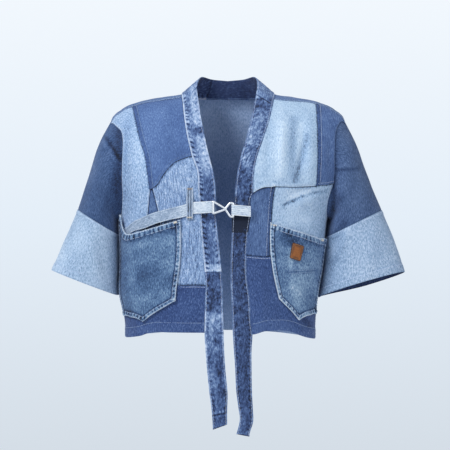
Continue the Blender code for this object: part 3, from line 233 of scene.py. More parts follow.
# The right pocket wraps the side, so its sides are given as across and z; the left one's as x and z
RIGHT_POCKET = [
    [(-.111, -.293), (-.15, -.3035), (-.193, -.316), (-.243, -.326), (-.26, -.31), (-.274, -.28)],
    [(-.274, -.28), (-.287, -.325), (-.29, -.37), (-.289, -.44), (-.281, -.519)],
    [(-.281, -.519), (-.211, -.528)], [(-.211, -.528), (-.123, -.479)],
    [(-.123, -.479), (-.118, -.433), (-.113, -.39), (-.111, -.293)],
]
LEFT_POCKET = [
    [(.096, -.299), (.096, -.352), (.102, -.411), (.116, -.475)], [(.116, -.475), (.161, -.525)],
    [(.161, -.525), (.202, -.514)], [(.202, -.514), (.2085, -.46), (.217, -.414), (.227, -.339)],
    [(.227, -.339), (.21, -.336), (.188, -.329), (.164, -.321), (.096, -.299)],
]
# How far the pockets stand off the fronts, above POCKET_LIFT: the right one gapes over the belt
POCKET_SWELLS = table("across z half_across half_z height", [
    (-.232, -.315, .046, .045, .0105), (-.215, -.41, .05, .07, .004), (.19, -.32, .045, .05, .0045),
])
POCKET_LABEL = [(.145, -.345), (.139, -.381), (.163, -.389), (.171, -.354)]
BELT_RIGHT = table("x upper lower", [
    (-.249, -.321, -.344), (-.237, -.312, -.333), (-.222, -.3, -.322), (-.188, -.2835, -.311),
    (-.16, -.2735, -.3), (-.129, -.2655, -.292), (-.095, -.2565, -.2845), (-.077, -.252, -.279),
    (-.057, -.251, -.278), (-.031, -.25, -.277),
])
TAB_Z = (-0.2582, -0.2822)  # its upper and lower edges beside the buckle
TAB_FALL = -0.0040
LOOP_X = (-.0945, -.08)
LOOP_Z = (-.219, -.292)

# The short strap's path from the left front to the buckle's right bar and back, as x
STRAP_OUTER_X = (.051, .036, .022)
STRAP_INNER_X = (.022, .034, .044)
STRAP_EDGE_X = (0.006, 0.052)  # between these its edges fall by TAB_FALL
LOOP_RISE = (0.08, 0.42)  # shares of the loop's length over which it leaves the front
LOOP_RETURN = (.93, 1.00)
LOOP_RETURN_DEPTH = 0.30  # the share of its height that it loses at its foot
POCKET_LIFT = 0.0045
BELT_LIFT = 0.0036
BELT_CLOTH = 0.0020
LOOP_LIFT = 0.0066
LABEL_LIFT = 0.0032  # above the pocket's middle
LEATHER = 0.0020

# The bow-tie buckle stands in front of the bands, between its two upright bars
BUCKLE_LEFT_X = -0.0345
BUCKLE_WAIST_X = -0.0065
BUCKLE_SHOULDER_X = 0.0045  # where the right arms turn level, to clear the strap
BUCKLE_RIGHT_X = 0.0118
BUCKLE_Z = -0.2685
BUCKLE_LEFT_HALF = 0.0140
BUCKLE_RIGHT_HALF = 0.0155
BUCKLE_TILT = -0.13  # its fall to the left arms, per length
BUCKLE_LIFT = 0.0080
TAB_TURN = 0.0035
JUST_CLEAR = 0.0003  # between a strap and the cloth behind it
BELT_STITCH, BELT_STITCH_GAP = 0.0022, 0.0008
LOOP_TACK = (0.0105, 0.0028)  # length and height


def between(values, slopes, i, t, width):
    """The smooth curve from row i to the next one, at a share t of the width between them."""
    start = (1 + 2 * t) * (1 - t) ** 2 * values[i] + t * (1 - t) ** 2 * width * slopes[i]
    return start + t * t * (3 - 2 * t) * values[i + 1] + t * t * (t - 1) * width * slopes[i + 1]


def smooth(rows, key, column, at):
    """A column read at any key through a smooth curve, constant past the first and last rows."""
    keys, values = rows[key], rows[column]
    slopes = np.gradient(values, keys)
    slopes[0] = slopes[-1] = 0.0
    at = np.clip(at, keys[0], keys[-1])
    i = np.clip(np.searchsorted(keys, at, side="right") - 1, 0, len(keys) - 2)
    width = keys[i + 1] - keys[i]
    return between(values, slopes, i, (at - keys[i]) / width, width)


def smooth_step(start, stop, value):
    share = np.clip((value - start) / (stop - start), 0, 1)
    return share * share * (3 - 2 * share)


def bell(value, width):
    """1 where the value is 0, fading over about the width on both sides."""
    return np.exp(-((value / width) ** 2))


def run_of(edge):
    return np.concatenate([[0], np.cumsum(np.linalg.norm(np.diff(edge, axis=0), axis=1))])


def evened(values):
    """Rows evened out once with their neighbours, the first and the last kept."""
    values[1:-1] = 0.25 * values[:-2] + 0.5 * values[1:-1] + 0.25 * values[2:]
    return values


def unit(vectors):
    return vectors / np.maximum(np.linalg.norm(vectors, axis=-1, keepdims=True), CORNER)


def plan_quarter():
    """Shares of the way round a quarter of the plan, with the width and depth there."""
    angle = np.linspace(0, math.pi / 2, 2001)
    wide = np.sin(angle) ** (2 / PLAN_POWER)
    deep = np.maximum(np.cos(angle), 0) ** (2 / PLAN_POWER)
    steps = np.hypot(np.diff(wide * BODY["right"].mean()), np.diff(deep * BODY["front"].mean()))
    run = np.concatenate([[0], np.cumsum(steps)])
    return run / run[-1], wide, deep


SHARE, WIDE, DEEP = plan_quarter()
RIDGE_END = RIDGE["x"][-1]


def ridge_z(share):
    return smooth(RIDGE, "x", "z", RIDGE_END * np.interp(share, SHARE, WIDE))


def drop_at(down, roll):
    """How far below the ridge a point is, and how far the cloth has come forward, from 0 to 1."""
    turn = np.clip(down / roll, 0, math.pi / 2)
    straight = roll * math.pi / 2
    return np.where(down < straight, roll * (1 - np.cos(turn)), down - straight + roll), np.sin(turn)


def down_at(drop, roll):
    turning = roll * np.arccos(np.clip(1 - drop / roll, -1, 1))
    return np.where(drop < roll, turning, roll * math.pi / 2 + drop - roll)


def bare_surface(across, down):
    """Points of the garment surface without its folds."""
    share = np.clip(np.abs(across) / QUARTER_ROUND, 0, 1)
    is_front = down >= 0
    front_drop, front_reach = drop_at(np.abs(down), FRONT_ROLL)
    back_drop, back_reach = drop_at(np.abs(down), BACK_ROLL)
    z = ridge_z(share) - np.where(is_front, front_drop, back_drop)
    half = np.where(across < 0, smooth(BODY, "z", "right", z), smooth(BODY, "z", "left", z))
    reach = np.where(is_front, front_reach, back_reach) * np.interp(share, SHARE, DEEP)
    deep = np.where(is_front, -smooth(BODY, "z", "front", z), smooth(BODY, "z", "back", z))
    return np.stack([np.sign(across) * half * np.interp(share, SHARE, WIDE), deep * reach, z], -1)


def outward(across, down):
    small = 1e-4
    by_across = bare_surface(across + small, down) - bare_surface(across - small, down)
    by_down = bare_surface(across, down + small) - bare_surface(across, down - small)
    normal = np.cross(by_down, by_across)
    return normal / np.maximum(np.linalg.norm(normal, axis=-1, keepdims=True), 1e-12)


def fold_height(points, folds):
    """The folds' height at each point: each is a soft ridge along a line, fading at both ends."""
    total = np.zeros(points.shape[:-1])
    for top_x, top_z, foot_x, foot_z, half_width, height in folds:
        top = np.array([top_x, top_z])
        run = np.array([foot_x, foot_z]) - top
        place = points[..., [0, 2]] - top
        along = place @ run / (run @ run)
        aside = (place @ np.array([-run[1], run[0]])) / math.sqrt(run @ run)
        total += height * np.clip(1 - (2 * along - 1) ** 2, 0, 1) * bell(aside, half_width)
    return total


def surface(across, down, lift=0.0):
    """Points of the garment surface with its folds, moved out by lift."""
    across, down = np.asarray(across, float), np.asarray(down, float)
    points = bare_surface(across, down)
    height = np.where(down >= 0, fold_height(points, FRONT_FOLDS), fold_height(points, BACK_FOLDS))
    return points + outward(across, down) * (height + lift)[..., None]


def on_front(x, z, roll=FRONT_ROLL, sign=1):
    """Across and down of the front's point at x and z; with the back's roll and sign, of the back's."""
    half = smooth(BODY, "z", "right" if x < 0 else "left", z)
    share = np.interp(min(abs(x) / half, 1), WIDE, SHARE)
    drop = max(ridge_z(share) - z, 0)
    return math.copysign(share * QUARTER_ROUND, x), sign * float(down_at(drop, roll))


def round_the_side(across, z):
    """Across and down of the front's point at that length across and that height."""
    return across, float(down_at(ridge_z(abs(across) / QUARTER_ROUND) - z, FRONT_ROLL))


def on_back(x, z):
    return on_front(x, z, BACK_ROLL, -1)


def curve_through(points, step=STEP, count=None):
    """Points at about even steps on a smooth curve through the given ones, both ends kept."""
    points = np.array(points, float)
    run = run_of(points)
    count = count or max(1, round(run[-1] / step))
    if len(points) == 2:
        return points[0] + np.linspace(0, 1, count + 1)[:, None] * (points[1] - points[0])
    slopes = np.gradient(points, run, axis=0)
    at = np.linspace(0, run[-1], count + 1)
    i = np.clip(np.searchsorted(run, at, side="right") - 1, 0, len(run) - 2)
    width = (run[i + 1] - run[i])[:, None]
    return between(points, slopes, i, (at - run[i])[:, None] / width, width)


def seam(places, step=STEP, find=on_front):
    """A smooth seam through points given as x and z, as points across and down."""
    return curve_through([find(x, z) for x, z in places], step)


def level_seam(places, roll=FRONT_ROLL, sign=1):
    """A seam like a hem: through points given as x and z, its height smooth right round to the side."""
    found = np.array([on_front(x, z, roll, sign) for x, z in places])
    heights = table("across z", [(across, z) for across, (_, z) in zip(found[:, 0], places)])
    start, stop = found[0, 0], found[-1, 0]
    across = np.linspace(start, stop, round(abs(stop - start) / STEP) + 1)
    drop = ridge_z(np.abs(across) / QUARTER_ROUND) - smooth(heights, "across", "z", across)
    return np.stack([across, sign * down_at(drop, roll)], 1)


def side_point(sign, z):
    return sign * float(smooth(BODY, "z", "right" if sign < 0 else "left", z)), z


def shoulder_point(x):
    drop = smooth(SHOULDER_SEAM, "x", "right_drop" if x < 0 else "left_drop", abs(x))
    return x, float(smooth(RIDGE, "x", "z", abs(x)) - drop)


SHARPEST = 0.25  # keeps a corner from running off where it is sharper


def inset(outline, distance):
    """The outline, counter-clockwise, with every side moved in by the distance."""
    sides = np.roll(outline, -1, axis=0) - outline
    sides /= np.linalg.norm(sides, axis=1)[:, None]
    inwards = np.stack([-sides[:, 1], sides[:, 0]], 1)
    before = np.roll(inwards, 1, axis=0)
    bisector = inwards + before
    share = 1 + (inwards * before).sum(1)
    return outline + distance * bisector / np.maximum(share, SHARPEST)[:, None]


def inside(outline, places):
    """True for each place inside the outline."""
    within = np.zeros(len(places), bool)
    for a, b in zip(outline, np.roll(outline, -1, axis=0)):
        crosses = (a[1] > places[:, 1]) != (b[1] > places[:, 1])
        rise = b[1] - a[1] if b[1] != a[1] else CORNER
        within ^= crosses & (places[:, 0] < (b[0] - a[0]) * (places[:, 1] - a[1]) / rise + a[0])
    return within


def closed_outline(parts):
    """One counter-clockwise loop from seams that follow each other end to end."""
    loop = np.concatenate([part[:-1] for part in parts])
    following = np.roll(loop, -1, axis=0)
    area = (loop[:, 0] * following[:, 1] - loop[:, 1] * following[:, 0]).sum()
    return loop if area > 0 else loop[::-1]


def straight_down(sign, top_z, foot_z, find=on_front):
    return seam([side_point(sign, top_z), side_point(sign, foot_z)], STEP, find)


def shoulder(start_x, end_x):
    xs = np.linspace(start_x, end_x, 5)
    return seam([shoulder_point(x) for x in xs])


def neck_half(sign):
    """The neck edge from the shoulder seam over the ridge to the centre back."""
    front = on_front(*shoulder_point(sign * NECK_X))
    places = [front]
    for x, drop in BACK_NECK:
        share = np.interp(x / RIDGE_END, WIDE, SHARE)
        places.append((sign * share * QUARTER_ROUND, -float(down_at(drop, BACK_ROLL))))
    return curve_through(places)


def back_armhole(sign, places, underarm_z):
    """The back's side of an armhole, from the shoulder seam over the ridge to the side seam."""
    top = on_front(*shoulder_point(sign * ARMHOLE_TOP_X))
    return curve_through([top] + [on_back(x, z) for x, z in places + [side_point(sign, underarm_z)]])


def all_seams():
    """Every seam once, so that the pieces on both sides of it share its points."""
    corners = [side_point(sign, corner) for sign, _, _, corner in SIDES.values()]
    made = {
        "right_shoulder_chest": shoulder(RIGHT_CHEST_TOP_X, -NECK_X),
        "right_shoulder_side": shoulder(-ARMHOLE_TOP_X, RIGHT_CHEST_TOP_X),
        "left_shoulder_chest": shoulder(NECK_X, LEFT_CHEST_TOP_X),
        "left_shoulder_strip": shoulder(LEFT_CHEST_TOP_X, ARMHOLE_TOP_X),
        "back_hem": level_seam(corners[:1] + BACK_HEM + corners[1:], BACK_ROLL, -1),
    }
    for side, (sign, underarm, hem_seam, corner) in SIDES.items():
        ends = {"hem_side": hem_seam, "hem": corner, "armhole": underarm, "armhole_side": underarm}
        armhole = []
        for name in PATHS:
            if not name.startswith(side):
                continue
            places, where = PATHS[name], name.split("_", 1)[1]
            if "armhole" in where:
                armhole += places[len(armhole) > 0 :]
            if name in SHOULDER_STARTS:
                places = [shoulder_point(SHOULDER_STARTS[name])] + places
            if where in ends:
                places = places + [side_point(sign, ends[where])]
            made[name] = level_seam(places) if where == "hem" else seam(places)
        made[f"{side}_upper_side"] = straight_down(sign, underarm, hem_seam)
        made[f"{side}_lower_side"] = straight_down(sign, hem_seam, corner)
        made[f"back_neck_{side}"] = neck_half(sign)
        made[f"back_armhole_{side}"] = back_armhole(sign, armhole, underarm)
        made[f"back_side_{side}"] = straight_down(sign, underarm, corner, on_back)
    return made


SEAMS = all_seams()

# Each body piece: its name, how it is held, and its seams in order round it
BODY_PIECES = [
    ("back_panel", "draped", "right_shoulder_side right_shoulder_chest back_neck_right -back_neck_left "
     "left_shoulder_chest left_shoulder_strip back_armhole_left back_side_left -back_hem "
     "-back_side_right -back_armhole_right"),
    ("front_right_chest", "draped", "right_shoulder_chest right_neck_chest right_pocket_curve "
     "-right_wedge_top -right_chest_side"),
    ("front_right_side", "draped", "right_shoulder_side right_chest_side right_wedge_side "
     "right_hem_side -right_upper_side -right_armhole"),
    ("front_right_waist", "hung", "right_neck_waist right_hem_waist -right_wedge_waist "
     "-right_pocket_curve"),
    ("front_right_wedge", "hung", "right_wedge_top right_wedge_waist right_hem_wedge -right_wedge_side"),
    ("front_right_hem", "hung", "right_hem_waist right_hem_wedge right_hem_side right_lower_side "
     "-right_hem -right_neck_hem"),
    ("front_left_chest", "draped", "left_shoulder_chest left_chest_strip -left_chest_side "
     "-left_chest_centre -left_neck_chest"),
    ("front_left_strip", "draped", "left_shoulder_strip left_armhole_strip -left_strip_side "
     "-left_chest_strip"),
    ("front_left_centre", "hung", "left_neck_centre left_hem_centre -left_centre_side -left_chest_centre"),
    ("front_left_side", "hung", "left_chest_side left_strip_side left_armhole_side left_upper_side "
     "-left_hem_side -left_centre_side"),
    ("front_left_hem", "hung", "left_hem_centre left_hem_side left_lower_side -left_hem -left_neck_hem"),
]


def sewn(names):
    """The seams named, in order; a minus turns one round."""
    return [SEAMS[n[1:]][::-1] if n[0] == "-" else SEAMS[n] for n in names.split()]


def oval(section, turns):
    """A sleeve section's points: turns run from the top line down the front and up the back."""
    _, top_x, top_z, under_x, under_z, half_depth, middle_y, tilt = section
    top, under = np.array([top_x, 0, top_z]), np.array([under_x, 0, under_z])
    middle = (top + under) / 2 + np.array([0, middle_y, 0])
    angle = 2 * math.pi * turns
    points = middle + np.cos(angle)[:, None] * (top - under) / 2
    points[:, 1] -= np.sin(angle) * half_depth
    points[:, 2] += np.sin(angle) * tilt
    return points


def armhole_places(front_names, back_name):
    """The armhole's two sides, as places across and down from its top."""
    return [np.concatenate([SEAMS[n][:-1] for n in front_names]), SEAMS[back_name][::-1][:-1]]


def armhole_ring(front_names, back_name):
    """The armhole's points from its top down the front and up the back, and each one's turn."""
    sides = [surface(*side.T) for side in armhole_places(front_names, back_name)]
    turns = []
    for start, side, end in ((0.0, sides[0], sides[1][0]), (0.5, sides[1], sides[0][0])):
        run = run_of(np.vstack([side, end]))
        turns.append(start + 0.5 * run[:-1] / run[-1])
    return np.concatenate(sides), np.concatenate(turns)


def sleeve_rings(sections, ring, turns):
    """A function from run (0 at the armhole, 1 at the cuff's seam, 2 at its edge) to a ring."""
    rings = [ring] + [oval(row, turns) for row in zip(*sections.values())]
    runs = np.array([0.0] + list(sections["run"]))
    slopes = np.gradient(np.array(rings), runs, axis=0)

    def at(run):
        i = min(int(np.searchsorted(runs, run, side="right")) - 1, len(runs) - 2)
        width = runs[i + 1] - runs[i]
        return between(rings, slopes, i, (run - runs[i]) / width, width)

    return at


def band_edges(sign):
    """Both edges of one side's band from the centre back down to the end that hangs."""
    side = "right" if sign < 0 else "left"
    rows, tie = (RIGHT_BAND, RIGHT_TIE) if sign < 0 else (LEFT_BAND, LEFT_TIE)
    names = ["chest", "waist" if sign < 0 else "centre", "hem"]
    neck = SEAMS[f"back_neck_{side}"][::-1]
    parts = [SEAMS[f"{side}_neck_{n}"][:-1] for n in names]
    front = np.concatenate(parts + [SEAMS[f"{side}_neck_hem"][-1:]])
    neck_points, front_points = surface(*neck.T), surface(*front.T)

    heights = front_points[:, 2]
    free_x, free_z = (smooth(rows, "seam_z", column, heights) for column in ("free_x", "free_z"))
    flush = surface(*np.array([on_front(x, z) for x, z in zip(free_x, free_z)]).T)
    share = smooth_step(0, NECK_BLEND, heights[0] - heights)
    free_y = NECK_FRONT_Y + share * (flush[:, 1] - NECK_FRONT_Y)
    front_free = np.stack([free_x, free_y, free_z], 1)

    around = np.array([(sign * x, y, z) for x, y, z in NECK_FREE_EDGE] + [tuple(front_free[0])])
    neck_free = curve_through(around, count=len(neck) - 1)

    tie_z = np.arange(heights[-1] - STEP, tie["seam_z"][0] + STEP / 2, -STEP)
    tie_z = np.concatenate([tie_z, tie["seam_z"][:1]])
    last = {"seam_x": front_points[-1, 0], "free_x": free_x[-1], "free_z": free_z[-1]}
    low = {column: np.append(tie[column], value) for column, value in last.items()}
    low["z"] = np.append(tie["seam_z"], front_points[-1, 2])
    tie_seam, tie_free = [], []
    for z in tie_z:
        seam_x, free_x, free_z = (float(smooth(low, "z", column, z)) for column in last)
        tie_seam.append((seam_x, front_points[-1, 1], z))
        tie_free.append((free_x, front_points[-1, 1], free_z))

    seam_edge = np.concatenate([neck_points[:-1], front_points, tie_seam])
    free_edge = np.concatenate([neck_free[:-1], front_free, tie_free])
    inwards = free_edge - seam_edge
    inwards /= np.linalg.norm(inwards, axis=1)[:, None]
    stand_off = np.concatenate([
        np.full(len(neck_points) - 1, NECK_STAND_OFF),
        SEAM_GAP / 2 + (NECK_STAND_OFF - SEAM_GAP / 2) * (1 - share),
        np.full(len(tie_z), SEAM_GAP / 2),
    ])
    return seam_edge + stand_off[:, None] * inwards, free_edge


def run_where(edge, z, sign):
    """The length along an edge at which it passes a height on one side's front."""
    runs = run_of(edge)
    front = (edge[:, 1] < 0) & (edge[:, 0] * sign > 0)
    order = np.argsort(edge[front, 2])
    return float(np.interp(z, edge[front, 2][order], runs[front][order]))


def stretch_rows(runs, values, at):
    """Rows of values read at other lengths than their own."""
    flat = values.reshape(len(values), -1)
    return np.stack([np.interp(at, runs, column) for column in flat.T], 1).reshape(-1, *values.shape[1:])


def pocket_lift(across, down):
    z = bare_surface(across, down)[:, 2]
    lift = np.full(len(across), POCKET_LIFT)
    for middle, middle_z, half_across, half_z, height in zip(*POCKET_SWELLS.values()):
        lift += height * np.exp(-(((across - middle) / half_across) ** 2) - ((z - middle_z) / half_z) ** 2)
    return lift


# ---------------------------------------------------------------------------------------------
# Unevenness: smooth random values, the same on every run


def wobble(at, period, seed):
    """A smooth random value from -1 to 1 along a length."""
    values = np.random.RandomState(seed).uniform(-1, 1, 2048)
    place = np.asarray(at, float) / period
    low = np.floor(place).astype(int)
    t = smooth_step(0, 1, place - low)
    return values[low % 2048] * (1 - t) + values[(low + 1) % 2048] * t


def blotches(u, v, period_u, period_v, seed):
    """A smooth random value from -1 to 1 over a surface."""
    values = np.random.RandomState(seed).uniform(-1, 1, (128, 128))
    a, b = np.asarray(u, float) / period_u, np.asarray(v, float) / period_v
    i, j = np.floor(a).astype(int), np.floor(b).astype(int)
    s, t = smooth_step(0, 1, a - i), smooth_step(0, 1, b - j)
    first, second = (
        values[i % 128, k % 128] * (1 - s) + values[(i + 1) % 128, k % 128] * s for k in (j, j + 1)
    )
    return first * (1 - t) + second * t


def roping(run, seed, period=0.0070, even=0.0):
    """Puckers along a seam, from -1 to 1: they crowd, spread and fade, less so where even is near 1."""
    drift = 1.8 * wobble(run, 0.016, seed) + 2.2 * wobble(run, 0.05, seed + 1)
    phase = 2 * math.pi * run / period + (1 - 0.6 * even) * drift
    strength = even + (1 - even) * (0.62 + 0.38 * wobble(run, 0.022, seed + 2))
    return strength * np.sin(phase)


def stroke_tone(points, strokes):
    """Paler and darker strokes: each is a soft line with a half width and a strength."""
    total = np.zeros(len(points))
    for top_x, top_z, foot_x, foot_z, half_width, strength in strokes:
        apart, _ = near(np.array([(top_x, top_z), (foot_x, foot_z)]), points[:, [0, 2]])
        total += strength * bell(apart, half_width)
    return total


# ---------------------------------------------------------------------------------------------
# Cloth


def near(line, places):
    """Each place's distance to a line and its length along it."""
    best = np.full(len(places), np.inf)
    run = np.zeros(len(places))
    length = 0.0
    for a, b in zip(line[:-1], line[1:]):
        side = b - a
        t = np.clip((places - a) @ side / max(side @ side, CORNER), 0, 1)
        apart = np.linalg.norm(places - a - t[:, None] * side, axis=1)
        closer = apart < best
        best[closer] = apart[closer]
        size = math.sqrt(side @ side)
        run[closer] = length + t[closer] * size
        length += size
    return best, run


def distance_to(outline, places):
    """The distance from each place to the nearest side of the outline."""
    return near(np.vstack([outline, outline[:1]]), places)[0]


def placed(name, data):
    """A new object in the scene."""
    made = bpy.data.objects.new(name, data)
    bpy.context.scene.collection.objects.link(made)
    return made


def plain_mesh(name, points, faces, material, soft=True):
    mesh = bpy.data.meshes.new(name)
    mesh.from_pydata(points, [], faces)
    mesh.materials.append(material)
    if soft:
        mesh.shade_smooth()
    return placed(name, mesh)


SHARP_ANGLE = math.radians(50)


def mesh_object(name, points, triangles, tone, cut, clothes, inner):
    """A mesh that stores its tone and its place on the cut. Its inner faces use the second cloth."""
    mesh = bpy.data.meshes.new(name)
    points, triangles = np.asarray(points, np.float32), np.asarray(triangles, np.int32)
    mesh.vertices.add(len(points))
    mesh.vertices.foreach_set("co", points.ravel())
    mesh.loops.add(3 * len(triangles))
    mesh.loops.foreach_set("vertex_index", triangles.ravel())
    mesh.polygons.add(len(triangles))
    mesh.polygons.foreach_set("loop_start", np.arange(0, 3 * len(triangles), 3, dtype=np.int32))
    mesh.polygons.foreach_set("material_index", np.asarray(inner, np.int32))
    mesh.update(calc_edges=True)
    mesh.attributes.new("tone", "FLOAT", "POINT").data.foreach_set("value", np.asarray(tone, np.float32))
    layer = mesh.uv_layers.new(name="cut")
    layer.data.foreach_set("uv", np.asarray(cut, np.float32)[triangles.ravel()].ravel())
    for cloth in clothes:
        mesh.materials.append(cloth)
    mesh.shade_smooth()
    mesh.set_sharp_from_angle(angle=SHARP_ANGLE)
    return placed(name, mesh)


def shell(name, middle, normals, triangles, relief, tone, cut, clothes, thickness=CLOTH):
    """A closed cloth wall: its relief is on the outer face, and the rim is rounded off a little."""
    count = len(middle)
    triangles = np.asarray(triangles, int)
    thickness = np.broadcast_to(thickness, count)
    outer = middle + (0.5 * thickness + relief)[:, None] * normals
    inner = middle - 0.5 * thickness[:, None] * normals
    edges = {}
    for t in triangles:
        for a, b in ((t[0], t[1]), (t[1], t[2]), (t[2], t[0])):
            edges[(a, b)] = True
    rim = [(a, b) for a, b in edges if (b, a) not in edges]
    sides = [(b, a, a + count) for a, b in rim] + [(b, a + count, b + count) for a, b in rim]
    faces = np.concatenate([triangles, triangles[:, ::-1] + count, np.array(sides, int)])
    which = np.concatenate([np.zeros(len(triangles)), np.ones(len(triangles)), np.zeros(len(sides))])
    points = np.concatenate([outer, inner])
    return mesh_object(name, points, faces, np.tile(tone, 2), np.tile(cut, (2, 1)), clothes, which)


def triangle_area(points, triangles):
    a, b, c = (points[np.asarray(triangles)[:, k]] for k in range(3))
    return float(0.5 * np.linalg.norm(np.cross(b - a, c - a), axis=1).sum())


def declare(made, node, area, held):
    """The piece stands for its solid: it rides the root and its solid is hidden. The area it was cut to is
    not used.
    """
    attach(made, "root")
    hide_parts(node)


ROW_KEPT = 0.93  # the share of its distance that a point of a row keeps from every side
LATTICE_APART = 0.55  # the lattice's distance from the last row, in steps
CLOSEST = 1e-5  # points nearer than this are one, in millimetres


def filled(outline, step, rows_in=ROWS):
    """Triangles that fill an outline, with rows of points beside it and a lattice inside."""
    sides = np.roll(outline, -1, axis=0) - outline
    following = np.stack([-sides[:, 1], sides[:, 0]], 1)
    following /= np.maximum(np.linalg.norm(following, axis=1), CORNER)[:, None]
    bisector = following + np.roll(following, 1, axis=0)
    bisector /= np.maximum(np.linalg.norm(bisector, axis=1), CORNER)[:, None]
    places = [outline]
    for row, distance in enumerate(rows_in):
        ring = (outline + distance * bisector)[:: 1 + (row > 1)]
        ring = ring[inside(outline, ring)]
        places.append(ring[distance_to(outline, ring) > ROW_KEPT * distance])
    low, high = outline.min(0), outline.max(0)
    rows = np.arange(np.floor(low[1] / step), np.ceil(high[1] / step) + 1)
    columns = np.arange(np.floor(low[0] / step) - 1, np.ceil(high[0] / step) + 1)
    lattice = np.array([((i + 0.5 * (j % 2)) * step, j * step) for j in rows for i in columns])
    lattice = lattice[inside(outline, lattice)]
    if len(lattice):
        places.append(lattice[distance_to(outline, lattice) > rows_in[-1] + LATTICE_APART * step])
    scaled = [tuple(1000 * place) for place in np.concatenate(places)]
    found = delaunay_2d_cdt(scaled, [], [list(range(len(outline)))], 1, CLOSEST)
    return np.array([tuple(p) for p in found[0]]) / 1000, [tuple(f)[::-1] for f in found[2]]


def creases(points, front):
    return np.where(front, fold_height(points, FRONT_CREASES), fold_height(points, BACK_CREASES))


# How seams are sewn: the piece that laps over; how wide its turned edge is, how high it stands, how
# much it puckers, the distances of its stitch rows, and how worn its edge is; and the seams sewn so
SEWN_SO = [
    ("back_panel", (0.009, 0.0006, 0.0002, (0.0025,), 0.35),
     "right_shoulder_chest right_shoulder_side left_shoulder_chest left_shoulder_strip"),
    ("back_panel", (0.010, 0.0008, 0.0003, (0.0020,), 0.30), "back_armhole_right back_armhole_left"),
    ("back_panel", (0.011, 0.0009, 0.0004, (0.0020, 0.0090), 0.35), "back_side_right back_side_left"),
    ("back_panel", (0.024, 0.0008, 0.0005, (0.0225,), 0.08), "back_hem"),
    ("front_right_chest", (0.010, 0.0009, 0.0004, (0.0090,), -0.55), "right_chest_side"),
    ("front_right_chest", (0.010, 0.0012, 0.0003, (0.0050,), 0.20), "right_pocket_curve"),
    ("front_right_chest", (0.008, 0.0006, 0.0002, (0.0020,), 0.20), "right_wedge_top"),
    ("front_right_side", (0.011, 0.0008, 0.0004, (0.0020,), 0.30), "right_wedge_side"),
    ("front_right_side", (0.010, 0.0008, 0.0003, (0.0020,), 0.35), "right_armhole"),
    ("front_right_waist", (0.010, 0.0007, 0.0004, (0.0020,), 0.25), "right_wedge_waist"),
    ("front_right_hem", (0.009, 0.0007, 0.0003, (0.0030,), 0.30),
     "right_hem_side right_hem_wedge right_hem_waist"),
    ("front_right_hem", (0.024, 0.0008, 0.0005, (0.0225,), 0.08), "right_hem"),
    ("front_left_strip", (0.011, 0.0009, 0.0004, (0.0090,), -0.70), "left_chest_strip"),
    ("front_left_strip", (0.009, 0.0010, 0.0003, (0.0040,), 0.40), "left_strip_side"),
    ("front_left_strip", (0.010, 0.0008, 0.0003, (0.0020,), 0.10), "left_armhole_strip"),
    ("front_left_chest", (0.009, 0.0010, 0.0003, (0.0040,), 0.40), "left_chest_centre left_chest_side"),
    ("front_left_centre", (0.010, 0.0009, 0.0005, (0.0080,), -0.70), "left_centre_side"),
    ("front_left_side", (0.010, 0.0008, 0.0003, (0.0020,), 0.15), "left_armhole_side"),
    ("front_left_hem", (0.009, 0.0007, 0.0003, (0.0030,), 0.30), "left_hem_centre left_hem_side"),
    ("front_left_hem", (0.026, 0.0008, 0.0005, (0.0245,), 0.08), "left_hem"),
]
SEAM_STYLES = {name: (piece, *style) for piece, style, names in SEWN_SO for name in names.split()}
# How wide the shadow beside the edge of a lap is, where it isn't EDGE_SHADE
EDGE_SHADE = 0.0021
SEAM_SHADE = {
    "right_pocket_curve": 0.0036, "right_wedge_top": 0.0030, "left_chest_centre": 0.0028,
    "left_chest_side": 0.0028, "left_strip_side": 0.0028, "right_hem_waist": 0.0034,
    "right_hem_wedge": 0.0034, "right_shoulder_chest": 0.0028, "left_shoulder_chest": 0.0028,
    "left_shoulder_strip": 0.0028,
}
POCKET_WORN = 1.0
POCKET_TICK = 0.0064  # between two puckers of a pocket's hem
HEM_PALE = {"right_hem": 0.20, "left_hem": 0.25, "back_hem": 0.20}
GROOVE = 0.0006  # how far an edge rolls down at a seam
GROOVE_WIDE = 0.0011
LAP_EDGE = 0.0018  # how far in an edge is worn
BESIDE_LAP = 0.007  # how far a lap's puckers reach into the piece below
STEP_IN, STEP_OUT = 0.0016, 0.0004  # where a turned edge steps down, before and after its width
BEYOND_EDGE, BEYOND_WIDE = 0.0012, 0.0016  # the dark line past a turned edge: how far past, how wide
# Strengths of tone: the painted shade in the groove, the painted shadow beside a lap, and the puckers below
# it and on it
GROOVE_SHADE, LAP_SHADOW = 0.5, 2.3
PUCKER_BELOW, PUCKER_ON = 0.3, 0.35
# A worn edge's strengths: its pale rim, how far the rim hides the puckers, and the dark line past it
RIM_PALE, RIM_HIDES, BEYOND_DARK = 1.6, 0.8, 0.8
# A pocket's: its rim, its turned edge, the ticks on it and the dark line past it
POCKET_RIM, POCKET_PALE, POCKET_TICKS, POCKET_BEYOND = 1.5, 1.1, 2.6, 1.4
TICK_FADE = 0.030  # length over which its ticks come and go


def seam_seed(name):
    return sum(map(ord, name)) % 997


def level_apart(line, places):
    """How far each place stands up from a hem, and its length along the hem."""
    order = np.argsort(line[:, 0])
    hem = np.interp(places[:, 0], line[order, 0], line[order, 1])
    return np.abs(places[:, 1] - hem), np.abs(places[:, 0] - line[0, 0])


def turned_edge(apart, wide):
    """1 on a turned edge of that width and 0 beyond it."""
    return 1 - smooth_step(wide - STEP_IN, wide + STEP_OUT, apart)


